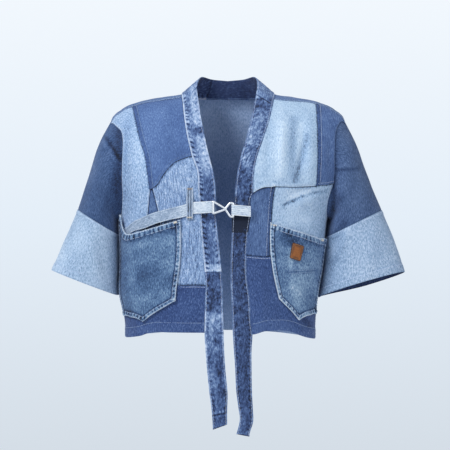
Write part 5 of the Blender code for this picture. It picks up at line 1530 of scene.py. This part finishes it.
def trim_pockets():
    """The bars at the mouths' corners, and two plain rows across the left pocket."""
    raised = 0.5 * CLOTH + TACK_RAISED
    for x, z, slope in POCKET_TACKS:
        place, up = on_pocket(x, z, raised)
        ahead, _ = on_pocket(x + TACK_AHEAD, z + TACK_AHEAD * slope, raised)
        bartack("stitches_tacks_cream", place, ahead - place, up, *POCKET_TACK)
    for number, (start_x, start_z, stop_x, stop_z) in enumerate(POCKET_ROWS):
        share = np.linspace(0, 1, 30)
        xs, zs = start_x + share * (stop_x - start_x), start_z + share * (stop_z - start_z)
        pairs = [on_pocket(x, z, 0.5 * CLOTH + ROW_RAISED) for x, z in zip(xs, zs)]
        points, ups = (np.array(part) for part in zip(*pairs))
        stitch_row("stitches_pocket_rows_sky", points, ups, 90 + number)


def turned_corner(before, corner, after):
    """Points of a soft turn from one place to another round a corner."""
    return [(1 - t) ** 2 * before + 2 * t * (1 - t) * corner + t * t * after for t in np.linspace(0, 1, 6)]


LABEL_ROUND = 0.12  # the share of a side that each of its corners takes
LABEL_GROOVE = 0.0028  # its distance from the edge
LABEL_SUNK = 0.0006
LABEL_LATTICE = 0.0020
LABEL_STITCH, LABEL_STITCH_GAP = 0.0022, 0.0010
# Its relief and its tone: how high or strong, and how wide, its rim and the line of its groove are; the
# dark tone at its edge is painted shadow round the tab
LABEL_RIM_HIGH, LABEL_RIM_WIDE = 0.0004, 0.0016
LABEL_GROOVE_DEEP, LABEL_GROOVE_WIDE = 0.0003, 0.0007
LABEL_EDGE_SHADOW, LABEL_EDGE_WIDE = 1.1, 0.0015
LABEL_LINE_DARK, LABEL_LINE_IN, LABEL_LINE_WIDE = 0.9, 0.0030, 0.0008


def make_label():
    """A smooth leather tab, rounded a little at its corners, with a groove and stitches round it."""
    corners = [np.array(on_front(x, z)) for x, z in POCKET_LABEL]
    outline = []
    for i, corner in enumerate(corners):
        before = corner + LABEL_ROUND * (corners[i - 1] - corner)
        after = corner + LABEL_ROUND * (corners[(i + 1) % 4] - corner)
        outline += turned_corner(before, corner, after)
    outline = closed_outline([np.array(outline + outline[:1])])
    places, triangles = filled(outline, LABEL_LATTICE)
    across, down = places.T
    edge = distance_to(outline, places)
    relief = LABEL_RIM_HIGH * (1 - bell(edge, LABEL_RIM_WIDE))
    relief -= LABEL_GROOVE_DEEP * bell(edge - LABEL_GROOVE, LABEL_GROOVE_WIDE)
    # painted shadow round the tab's edge
    tone = 0.4 * blotches(across, down, 0.010, 0.012, 71) - LABEL_EDGE_SHADOW * bell(edge, LABEL_EDGE_WIDE)
    tone -= LABEL_LINE_DARK * bell(edge - LABEL_LINE_IN, LABEL_LINE_WIDE)
    lift = pocket_lift(across, down) + LABEL_LIFT - LABEL_SUNK
    face = (surface(across, down, lift), outward(across, down), triangles, relief, tone, places)
    made = shell("pocket_label_leather", *face, cloths("pocket_label"), LEATHER)
    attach(made, "root")
    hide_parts("pocket_label")
    loop = inset(outline, LABEL_GROOVE)
    loop = curve_through(np.vstack([loop, loop[:1]]), 0.001)
    lift = pocket_lift(*loop.T) + LABEL_LIFT - LABEL_SUNK + 0.5 * LEATHER
    points = surface(loop[:, 0], loop[:, 1], lift)
    stitch_row("stitches_label_brown", points, outward(*loop.T), 5, LABEL_STITCH, LABEL_STITCH_GAP)


# Each strap's tone in its middle and along its edges, and how much paler its far end is
STRAP_WEAR = {"belt_right": (0.0, 0.7, 1.05), "belt_loop": (-1.5, 2.8, 0.0), "belt_left": (1.1, 0.5, 0.0)}
STRAP_RIB = 0.0046  # between two ribs of the left strap
STRAP_PUCKER = 0.006  # between two puckers
STRAP_WELT_HIGH, STRAP_WELT = 0.0003, 0.0012  # its swollen edge: how high, and how far in and wide
STRAP_ROLL, STRAP_ROLL_WIDE = 0.0004, 0.0007  # how far its edge rolls down, and over what width
STRAP_EDGE_WIDE, STRAP_PUCKER_WIDE = 0.0018, 0.0035
STRAP_LINE, STRAP_LINE_WIDE = 0.0042, 0.0012  # the dark line inside its edge
STRAP_LINE_FROM = 0.018  # width of the straps that have it
STRAP_PALER = (0.62, 0.80)  # shares of its length over which its end turns paler
LOOP_LINE_WIDE = 0.0009  # the pale line down the loop's middle


def strap_cloth(node, first_edge, second_edge, thickness, held, columns=8):
    """A flat strap between two edges, with welted, puckered edges, as one sheet."""
    share = np.linspace(0, 1, columns + 1)
    grid = first_edge[:, None] * (1 - share[:, None]) + second_edge[:, None] * share[:, None]
    normals = -grid_normals(grid, False)
    wide = np.linalg.norm(second_edge - first_edge, axis=1)[:, None]
    runs = run_of(0.5 * (first_edge + second_edge))
    run = np.broadcast_to(runs[:, None], grid.shape[:2])
    edge = np.minimum(share * wide, (1 - share) * wide)
    seed = seam_seed(node)
    pull = roping(run, seed, STRAP_PUCKER)
    welt = STRAP_WELT_HIGH * bell(edge - STRAP_WELT, STRAP_WELT) * (1 + 0.8 * pull)
    relief = welt - STRAP_ROLL * np.exp(-edge / STRAP_ROLL_WIDE)
    middle, edge_tone, paler = STRAP_WEAR[node]
    tone = middle + edge_tone * bell(edge, STRAP_EDGE_WIDE) + 0.25 * pull * bell(edge, STRAP_PUCKER_WIDE)
    tone = tone - 0.6 * bell(edge - STRAP_LINE, STRAP_LINE_WIDE) * (wide > STRAP_LINE_FROM)
    tone = tone + 0.30 * blotches(run, share * wide, 0.015, 0.006, seed + 1)
    tone = tone + paler * smooth_step(*STRAP_PALER, run / runs[-1])
    if node == "belt_loop":
        tone = tone + 2.0 * bell((share - 0.5) * wide, LOOP_LINE_WIDE)
    if node == "belt_left":
        ribs = np.cos(2 * math.pi * share * wide / STRAP_RIB)
        relief = relief + 0.0002 * ribs
        tone = tone + 0.55 * ribs
    triangles = grid_triangles(*grid.shape[:2], False)[:, ::-1]
    cut = np.stack([share * wide, run], 2)
    grid_cloth(node, grid, normals, triangles, relief, tone, cut, held, thickness)
    return grid, normals


def stitch_strap(group, grid, normals, thickness, shares, seed):
    last = grid.shape[1] - 1
    for number, share in enumerate(shares):
        low, t = int(share * last), share * last - int(share * last)
        line = grid[:, low] * (1 - t) + grid[:, min(low + 1, last)] * t
        ups = normals[:, low]
        points = curve_through(line + (0.5 * thickness + 0.0002) * ups, 0.002)
        ups = stretch_rows(np.arange(len(ups)), ups, np.linspace(0, len(ups) - 1, len(points)))
        stitch_row(group, points, ups, seed + number, BELT_STITCH, BELT_STITCH_GAP)


def make_belt():
    edges = [seam(zip(BELT_RIGHT["x"], BELT_RIGHT[column])) for column in ("upper", "lower")]
    count = min(len(edge) for edge in edges)
    edges = [curve_through(edge, count=count) for edge in edges]
    sides = [surface(edge[:, 0], edge[:, 1], BELT_LIFT) for edge in edges]
    grid, normals = strap_cloth("belt_right", *sides, BELT_CLOTH, "stretched")
    stitch_strap("stitches_belt_right_pale", grid, normals, BELT_CLOTH, (0.14, 0.86), 41)

    share = np.linspace(0, 1, 48)
    heights = LOOP_Z[0] + share * (LOOP_Z[1] - LOOP_Z[0])
    low = CLOTH + JUST_CLEAR
    lifts = low + (LOOP_LIFT - low) * smooth_step(*LOOP_RISE, share)
    lifts *= 1 - LOOP_RETURN_DEPTH * smooth_step(*LOOP_RETURN, share)
    sides = []
    for x in LOOP_X:
        places = np.array([on_front(x, z) for z in heights])
        sides.append(surface(places[:, 0], places[:, 1], lifts))
    grid, normals = strap_cloth("belt_loop", *sides, CLOTH, "stretched")
    for row, shade in ((2, "tan"), (len(grid) - 4, "cream")):
        middle = grid[row].mean(axis=0) + (0.5 * CLOTH + 0.0004) * normals[row, 4]
        across = grid[row, -1] - grid[row, 0]
        bartack(f"stitches_tacks_{shade}", middle, across, normals[row, 4], *LOOP_TACK)
    stitch_strap("stitches_belt_loop_pale", grid, normals, CLOTH, (0.22, 0.78), 43)

    turn = np.linspace(0, math.pi, 15)
    xs = np.concatenate([STRAP_OUTER_X, BUCKLE_RIGHT_X - TAB_TURN * np.sin(turn), STRAP_INNER_X])
    over = np.concatenate([np.ones(len(STRAP_OUTER_X)), np.cos(turn), -np.ones(len(STRAP_INNER_X))])
    places = np.array([on_front(x, sum(TAB_Z) / 2) for x in xs])
    sides = []
    for z in TAB_Z:
        edge = surface(places[:, 0], places[:, 1], BUCKLE_LIFT + TAB_TURN * over)
        edge[:, 2] = np.interp(xs, STRAP_EDGE_X, (z, z + TAB_FALL))
        sides.append(curve_through(edge, count=60))
    grid, normals = strap_cloth("belt_left", *sides, CLOTH, "folded", 24)
    stitch_strap("stitches_belt_left_pale", grid[:26], normals[:26], CLOTH, (0.16, 0.84), 47)


WIRE_SIDES = 12
WIRE_WIDE, WIRE_DEEP = 0.0046, 0.0024
WIRE_SQUARE = 0.7  # 1 for a round section, less for a squarer one
WIRE_ROUND = 0.0022  # at the loops' corners
WAIST_WIDE, WAIST_HALF = 0.001, 0.0016  # how far from the waist the loops end, and half their height there
PLATE_HALF = np.array([0.0034, 0.0019, 0.0030])
PLATE_FORWARD, PLATE_ROUND = 0.0004, 0.0009


def flat_wire(name, path, metal):
    """A closed wire along a path in an upright plane, with a section that is rounded and flat."""
    path = np.array(path)
    along = np.roll(path, -1, 0) - np.roll(path, 1, 0)
    square = unit(np.stack([-along[:, 2], 0 * along[:, 1], along[:, 0]], 1))
    turn = np.linspace(0, 2 * math.pi, WIRE_SIDES, endpoint=False)
    wide, deep = (np.sign(v) * np.abs(v) ** WIRE_SQUARE for v in (np.cos(turn), np.sin(turn)))
    points = path[:, None] + (0.5 * WIRE_WIDE * wide)[None, :, None] * square[:, None]
    points[..., 1] += 0.5 * WIRE_DEEP * deep
    count = len(path) * WIRE_SIDES
    triangles = []
    for i in range(0, count, WIRE_SIDES):
        for j in range(WIRE_SIDES):
            a, b = i + j, i + (j + 1) % WIRE_SIDES
            c, d = (a + WIRE_SIDES) % count, (b + WIRE_SIDES) % count
            triangles += [(a, c, b), (b, c, d)]
    return plain_mesh(name, points.reshape(-1, 3).tolist(), triangles, metal)


def rounded(corners, radius):
    """A closed path through corners, each turned with a round of about the given radius."""
    corners = [np.array(corner, float) for corner in corners]
    path = []
    for i, corner in enumerate(corners):
        before, after = corners[i - 1] - corner, corners[(i + 1) % len(corners)] - corner
        start, stop = (
            corner + arm * min(0.45, radius / np.linalg.norm(arm)) for arm in (before, after)
        )
        path += turned_corner(start, corner, stop)
    return path


def make_buckle(metal):
    """A bow-tie of flat wire: two loops that meet at a waist, held there by a small plate."""
    y = float(surface(*on_front(BUCKLE_RIGHT_X, BUCKLE_Z), BUCKLE_LIFT)[1])
    bars = []
    for name, x, half, beside in (
        ("right", BUCKLE_LEFT_X, BUCKLE_LEFT_HALF, -WAIST_WIDE),
        ("left", BUCKLE_RIGHT_X, BUCKLE_RIGHT_HALF, WAIST_WIDE),
    ):
        arms = [(x, -half), (x, half)]
        waist = [(BUCKLE_WAIST_X + beside, WAIST_HALF), (BUCKLE_WAIST_X + beside, -WAIST_HALF)]
        if x > BUCKLE_WAIST_X:
            waist = [(BUCKLE_SHOULDER_X, half), *waist, (BUCKLE_SHOULDER_X, -half)]
        corners = [(a, y, BUCKLE_Z + rise + BUCKLE_TILT * (a - BUCKLE_WAIST_X)) for a, rise in arms + waist]
        bars.append(flat_wire(f"buckle_wire_{name}", rounded(corners, WIRE_ROUND), metal))
    centre = np.array((BUCKLE_WAIST_X, y - PLATE_FORWARD, BUCKLE_Z))
    signs = [(i, j, k) for i in (-1, 1) for j in (-1, 1) for k in (-1, 1)]
    points = [tuple(centre + PLATE_HALF * sign) for sign in signs]
    faces = [(0, 1, 3, 2), (4, 6, 7, 5), (0, 4, 5, 1), (2, 3, 7, 6), (0, 2, 6, 4), (1, 5, 7, 3)]
    plate = plain_mesh("buckle_waist", points, faces, metal, False)
    round_edges = plate.modifiers.new("round", "BEVEL")
    round_edges.width = PLATE_ROUND
    round_edges.segments = 4
    for made in (*bars, plate):
        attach(made, "root")
    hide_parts("buckle")


# ---------------------------------------------------------------------------------------------
# Materials


def linear(red, green, blue):
    """A colour given as it looks on screen, from 0 to 255."""
    def one(value):
        value /= 255
        return value / 12.92 if value <= 0.04045 else ((value + 0.055) / 1.055) ** 2.4

    return (one(red), one(green), one(blue), 1.0)


class Nodes:
    """The nodes of a material or of the world, made with few words."""

    def __init__(self, owner):
        self.owner = owner
        owner.use_nodes = True
        self.tree = owner.node_tree
        self.skin = self.tree.nodes.get("Principled BSDF")

    def put(self, **values):
        """Sets inputs of the surface: a name's underscores stand for spaces."""
        for name, value in values.items():
            self.skin.inputs[name.replace("_", " ")].default_value = value

    def add(self, kind, **settings):
        node = self.tree.nodes.new(kind)
        for key, value in settings.items():
            setattr(node, key, value)
        return node

    def join(self, source, target):
        self.tree.links.new(source, target)

    def math(self, operation, first, second=0.0, third=None):
        node = self.add("ShaderNodeMath", operation=operation)
        values = (first, second) if third is None else (first, second, third)
        for socket, value in zip(node.inputs, values):
            if isinstance(value, (int, float)):
                socket.default_value = value
            else:
                self.join(value, socket)
        return node.outputs[0]

    def stored(self):
        """The tone and the place on the cut that mesh_object stored."""
        tone = self.add("ShaderNodeAttribute", attribute_name="tone").outputs["Fac"]
        return tone, self.add("ShaderNodeUVMap", uv_map="cut").outputs["UV"]

    def noise(self, place, stretch, detail=2.0, roughness=0.5):
        """Noise over the cut, with so many features a metre across and down."""
        scale = self.add("ShaderNodeVectorMath", operation="MULTIPLY")
        self.join(place, scale.inputs[0])
        scale.inputs[1].default_value = (*stretch, 1.0)
        node = self.add("ShaderNodeTexNoise", noise_dimensions="2D")
        self.join(scale.outputs[0], node.inputs["Vector"])
        node.inputs["Scale"].default_value = 1.0
        node.inputs["Detail"].default_value = detail
        node.inputs["Roughness"].default_value = roughness
        return node.outputs[0]

    def ramp(self, factor, stops):
        node = self.add("ShaderNodeValToRGB")
        self.join(factor, node.inputs["Fac"])
        elements = node.color_ramp.elements
        while len(elements) < len(stops):
            elements.new(0.5)
        for element, (place, colour) in zip(elements, stops):
            element.position = place
            element.color = colour
        return node.outputs["Color"]

    def bump(self, height, distance, strength=1.0):
        node = self.add("ShaderNodeBump")
        node.inputs["Strength"].default_value = strength
        node.inputs["Distance"].default_value = distance
        self.join(height, node.inputs["Height"])
        self.join(node.outputs["Normal"], self.skin.inputs["Normal"])


TWILL = 0.00105  # between two diagonals of the weave
LONG_STREAKS = {"waist_pale": 48.0, "strip_blue": 60.0, "centre_blue": 60.0}  # features a metre, not 125
DENIMS = {
    # dark, usual and pale colour as they look; how strong the streaks and the mottling are
    "back": ((56, 80, 126), (84, 112, 158), (128, 156, 198), 0.30, 0.10),
    "chest_blue": ((52, 74, 121), (77, 106, 158), (114, 143, 190), 0.22, 0.08),
    "side_pale": ((104, 132, 175), (144, 174, 212), (190, 211, 236), 0.34, 0.16),
    "waist_pale": ((90, 117, 161), (126, 156, 199), (180, 201, 229), 0.44, 0.09),
    "wedge": ((50, 72, 114), (70, 97, 142), (112, 140, 182), 0.24, 0.08),
    "hem_right": ((36, 54, 97), (53, 77, 128), (88, 113, 160), 0.30, 0.10),
    "hem_left": ((38, 58, 102), (59, 83, 134), (88, 114, 162), 0.32, 0.10),
    "chest_pale": ((132, 161, 198), (170, 198, 227), (208, 226, 244), 0.26, 0.09),
    "strip_blue": ((56, 79, 125), (80, 108, 160), (114, 142, 188), 0.30, 0.10),
    "centre_blue": ((52, 74, 118), (77, 103, 149), (108, 136, 180), 0.32, 0.08),
    "side_left": ((118, 147, 184), (169, 197, 228), (206, 223, 242), 0.27, 0.13),
    "sleeve_right": ((39, 57, 93), (61, 87, 129), (92, 116, 157), 0.24, 0.08),
    "sleeve_left": ((44, 64, 102), (69, 93, 134), (106, 130, 170), 0.24, 0.08),
    "cuff_right": ((117, 143, 177), (161, 187, 216), (199, 217, 238), 0.28, 0.11),
    "cuff_left": ((104, 131, 166), (144, 171, 204), (190, 209, 232), 0.28, 0.11),
    "band": ((54, 74, 118), (90, 117, 163), (152, 177, 213), 0.22, 0.14),
    "pocket_right": ((42, 64, 100), (71, 101, 142), (120, 151, 184), 0.24, 0.16),
    "pocket_left": ((50, 77, 118), (91, 122, 163), (148, 177, 205), 0.26, 0.18),
    "strap": ((108, 128, 156), (149, 169, 195), (205, 219, 234), 0.20, 0.12),
    "inside": ((110, 134, 176), (146, 172, 212), (184, 206, 236), 0.20, 0.08),
    # a darker copy of the inside: painted shade for insides seen in shadow
    "inside_shaded": ((30, 42, 76), (44, 60, 100), (74, 94, 138), 0.20, 0.08),
}
# Each node's cloth outside
NODE_CLOTHS = {
    "back_panel": "back", "front_right_chest": "chest_blue", "front_right_side": "side_pale",
    "front_right_waist": "waist_pale", "front_right_wedge": "wedge", "front_right_hem": "hem_right",
    "front_left_chest": "chest_pale", "front_left_strip": "strip_blue", "front_left_centre": "centre_blue",
    "front_left_side": "side_left", "front_left_hem": "hem_left", "sleeve_right_upper": "sleeve_right",
    "sleeve_left_upper": "sleeve_left", "sleeve_right_cuff": "cuff_right", "sleeve_left_cuff": "cuff_left",
    "band_neck": "band", "band_right_upper": "band", "band_right_lower": "band", "band_right_end": "band",
    "band_left_upper": "band", "band_left_lower": "band", "pocket_right": "pocket_right",
    "pocket_left": "pocket_left", "belt_right": "strap", "belt_left": "strap", "belt_loop": "strap",
}
# The nodes whose wrong side is a darker copy of the inside cloth, painted shade where that side is seen in
# shadow, and those that show the same side twice
SHADED_INSIDE = ("sleeve_left_cuff", "band_neck", "band_right_upper", "band_left_upper")
SAME_INSIDE = (
    "band_right_lower", "band_right_end", "band_left_lower", "belt_right", "belt_left", "belt_loop",
)


def denim(name):
    """Twill: indigo warp over a white weft, streaked along the warp and worn where the tone is pale."""
    dark, usual, pale, streak, mottle = DENIMS[name]
    nodes = Nodes(bpy.data.materials.new(f"denim_{name}"))
    tone, place = nodes.stored()
    slubs = nodes.noise(place, (820.0, 210.0), 2.0, 0.6)
    broad = nodes.noise(place, (380.0, LONG_STREAKS.get(name, 125.0)), 2.0, 0.6)
    worn = nodes.noise(place, (230.0, 180.0), 4.0, 0.75)
    line = nodes.add("ShaderNodeVectorMath", operation="DOT_PRODUCT")
    nodes.join(place, line.inputs[0])
    turn = 2 * math.pi / TWILL
    line.inputs[1].default_value = (0.87 * turn, 0.50 * turn, 0.0)
    twill = nodes.math("SINE", line.outputs["Value"])

    level = nodes.math("MULTIPLY_ADD", tone, 0.25, 0.5)
    for source, strength in ((slubs, streak * 2.4), (broad, streak * 2.4), (worn, mottle * 3.5)):
        swing = nodes.math("SUBTRACT", source, 0.5)
        level = nodes.math("MULTIPLY_ADD", swing, strength, level)
    level = nodes.math("MULTIPLY_ADD", twill, 0.05, level)
    deep = [0.45 * value for value in dark]
    bare = [value + 0.5 * (250 - value) for value in pale]
    shades = [linear(*shade) for shade in (deep, dark, usual, pale, bare)]
    stops = list(zip((0.0, 0.25, 0.5, 0.75, 1.0), shades))
    nodes.join(nodes.ramp(level, stops), nodes.skin.inputs["Base Color"])
    nodes.put(Roughness=0.88, Specular_IOR_Level=0.25, Sheen_Weight=0.10, Sheen_Roughness=0.5)
    height = nodes.math("MULTIPLY_ADD", twill, 0.35, slubs)
    height = nodes.math("ADD", height, nodes.math("MULTIPLY", worn, 1.4))
    nodes.bump(height, 0.0004, 0.6)
    return nodes.owner


def leather():
    nodes = Nodes(bpy.data.materials.new("leather_tab"))
    tone, place = nodes.stored()
    grain = nodes.noise(place, (700.0, 700.0), 3.0, 0.6)
    level = nodes.math("MULTIPLY_ADD", tone, 0.4, grain)
    stops = [(0.1, linear(66, 32, 12)), (0.5, linear(146, 84, 29)), (0.9, linear(184, 116, 46))]
    nodes.join(nodes.ramp(level, stops), nodes.skin.inputs["Base Color"])
    nodes.put(Roughness=0.55)
    nodes.bump(grain, 0.0004, 0.6)
    return nodes.owner


def yarn(name, dark, pale):
    nodes = Nodes(bpy.data.materials.new(name))
    place = nodes.add("ShaderNodeTexCoord").outputs["Object"]
    fibre = nodes.noise(place, (900.0, 900.0), 2.0)
    stops = [(0.3, linear(*dark)), (0.7, linear(*pale))]
    nodes.join(nodes.ramp(fibre, stops), nodes.skin.inputs["Base Color"])
    nodes.put(Roughness=0.8)
    return nodes.owner


def nickel():
    nodes = Nodes(bpy.data.materials.new("nickel_wire"))
    place = nodes.add("ShaderNodeTexCoord").outputs["Object"]
    scratch = nodes.noise(place, (500.0, 2500.0), 3.0)
    stops = [(0.3, linear(214, 217, 222)), (0.7, linear(242, 244, 247))]
    nodes.join(nodes.ramp(scratch, stops), nodes.skin.inputs["Base Color"])
    nodes.put(Metallic=1.0)
    nodes.join(nodes.math("MULTIPLY_ADD", scratch, 0.20, 0.15), nodes.skin.inputs["Roughness"])
    return nodes.owner


CLOTH_SHADES = {}


def cloths(node):
    """The outside and inside materials of a node."""
    if node == "pocket_label":
        return [leather()] * 2
    outside = NODE_CLOTHS[node]
    inside = "inside_shaded" if node in SHADED_INSIDE else outside if node in SAME_INSIDE else "inside"
    for name in (outside, inside):
        if name not in CLOTH_SHADES:
            CLOTH_SHADES[name] = denim(name)
    return [CLOTH_SHADES[outside], CLOTH_SHADES[inside]]


# ---------------------------------------------------------------------------------------------
# Stage, light and camera

FLOOR_Z, FLOOR_RADIUS = -1.40, 2.4
# The wall's colours by height: darker towards the bottom, a painted fall of light
BACKGROUND = [(0.0, (212, 221, 230)), (0.5, (228, 238, 248)), (1.0, (242, 248, 254))]
BACKGROUND_REACH = 0.17  # how far up and down its colours change
WORLD_LIGHT = 0.48
LAMPS = [("key", (-2.2, -2.4, 2.2), 1.4, 120.0), ("fill", (2.2, -2.6, 0.6), 2.2, 24.0)]
LAMP_AIM = (0.0, 0.0, -0.3)
CAMERA_AWAY, CAMERA_SENSOR = 3.2, 36
VIEW_WIDE, VIEW_X, VIEW_Z = 1.071, -0.007, -0.305


def make_stage():
    nodes = Nodes(bpy.data.materials.new("floor_pale"))
    nodes.put(Base_Color=linear(232, 238, 245), Roughness=0.9)
    turn = np.linspace(0, 2 * math.pi, 64, endpoint=False)
    rim = [(FLOOR_RADIUS * math.cos(a), FLOOR_RADIUS * math.sin(a), FLOOR_Z) for a in turn]
    made = plain_mesh("floor", rim, [tuple(range(64))], nodes.owner, False)


def make_world():
    """A pale wall for the camera, and an even light for everything else."""
    world = bpy.data.worlds.new("studio")
    bpy.context.scene.world = world
    nodes = Nodes(world)
    nodes.tree.nodes.clear()
    output = nodes.add("ShaderNodeOutputWorld")
    choose = nodes.add("ShaderNodeMixShader")
    ray = nodes.add("ShaderNodeLightPath").outputs
    seen = nodes.math("MAXIMUM", ray["Is Camera Ray"], ray["Is Glossy Ray"])
    seen = nodes.math("MAXIMUM", seen, ray["Is Transmission Ray"])
    light, wall = (nodes.add("ShaderNodeBackground") for _ in range(2))
    light.inputs["Color"].default_value = linear(246, 249, 253)
    light.inputs["Strength"].default_value = WORLD_LIGHT
    split = nodes.add("ShaderNodeSeparateXYZ")
    nodes.join(nodes.add("ShaderNodeTexCoord").outputs["Generated"], split.inputs[0])
    height = nodes.add("ShaderNodeMapRange")
    height.inputs["From Min"].default_value = -BACKGROUND_REACH
    height.inputs["From Max"].default_value = BACKGROUND_REACH
    nodes.join(split.outputs["Z"], height.inputs["Value"])
    stops = [(at, linear(*colour)) for at, colour in BACKGROUND]
    nodes.join(nodes.ramp(height.outputs["Result"], stops), wall.inputs["Color"])
    for source, target in zip((seen, light.outputs[0], wall.outputs[0]), choose.inputs):
        nodes.join(source, target)
    nodes.join(choose.outputs[0], output.inputs["Surface"])


def make_lamp(name, place, size, power):
    """A square area light that points at the jacket."""
    lamp = bpy.data.lights.new(name, "AREA")
    lamp.shape = "SQUARE"
    lamp.size = size
    lamp.energy = power
    made = placed(name, lamp)
    made.location = place
    aimed = Vector(LAMP_AIM) - Vector(place)
    made.rotation_euler = aimed.to_track_quat("-Z", "Y").to_euler()


def make_camera():
    """Straight in front, far enough away for the sleeves' undersides to stay hidden."""
    camera = bpy.data.cameras.new("camera")
    camera.sensor_width = CAMERA_SENSOR
    camera.lens = CAMERA_SENSOR * CAMERA_AWAY / VIEW_WIDE
    made = placed("camera", camera)
    made.location = (VIEW_X, -CAMERA_AWAY, VIEW_Z)
    made.rotation_euler = (math.radians(90), 0, 0)
    bpy.context.scene.camera = made


# Each thread's colours, as they look
YARNS = {
    "pale": ((184, 202, 238), (214, 227, 248)),
    "sky": ((142, 165, 200), (164, 186, 216)),
    "tan": ((146, 132, 122), (180, 166, 154)),
    "blue": ((92, 112, 150), (124, 146, 182)),
    "brown": ((176, 120, 72), (206, 152, 100)),
    "cream": ((208, 202, 190), (238, 234, 224)),
}

for name, held, names in BODY_PIECES:
    make_panel(name, held, names)
    stitch_edges(name, names)
make_sleeves()
make_band()
make_pockets()
trim_pockets()
make_label()
make_belt()
make_buckle(nickel())
make_threads({name: yarn(f"thread_{name}", *colours) for name, colours in YARNS.items()})
make_stage()
make_world()
for name, place, size, power in LAMPS:
    make_lamp(name, place, size, power)
make_camera()
bpy.context.scene.view_settings.view_transform = "Standard"
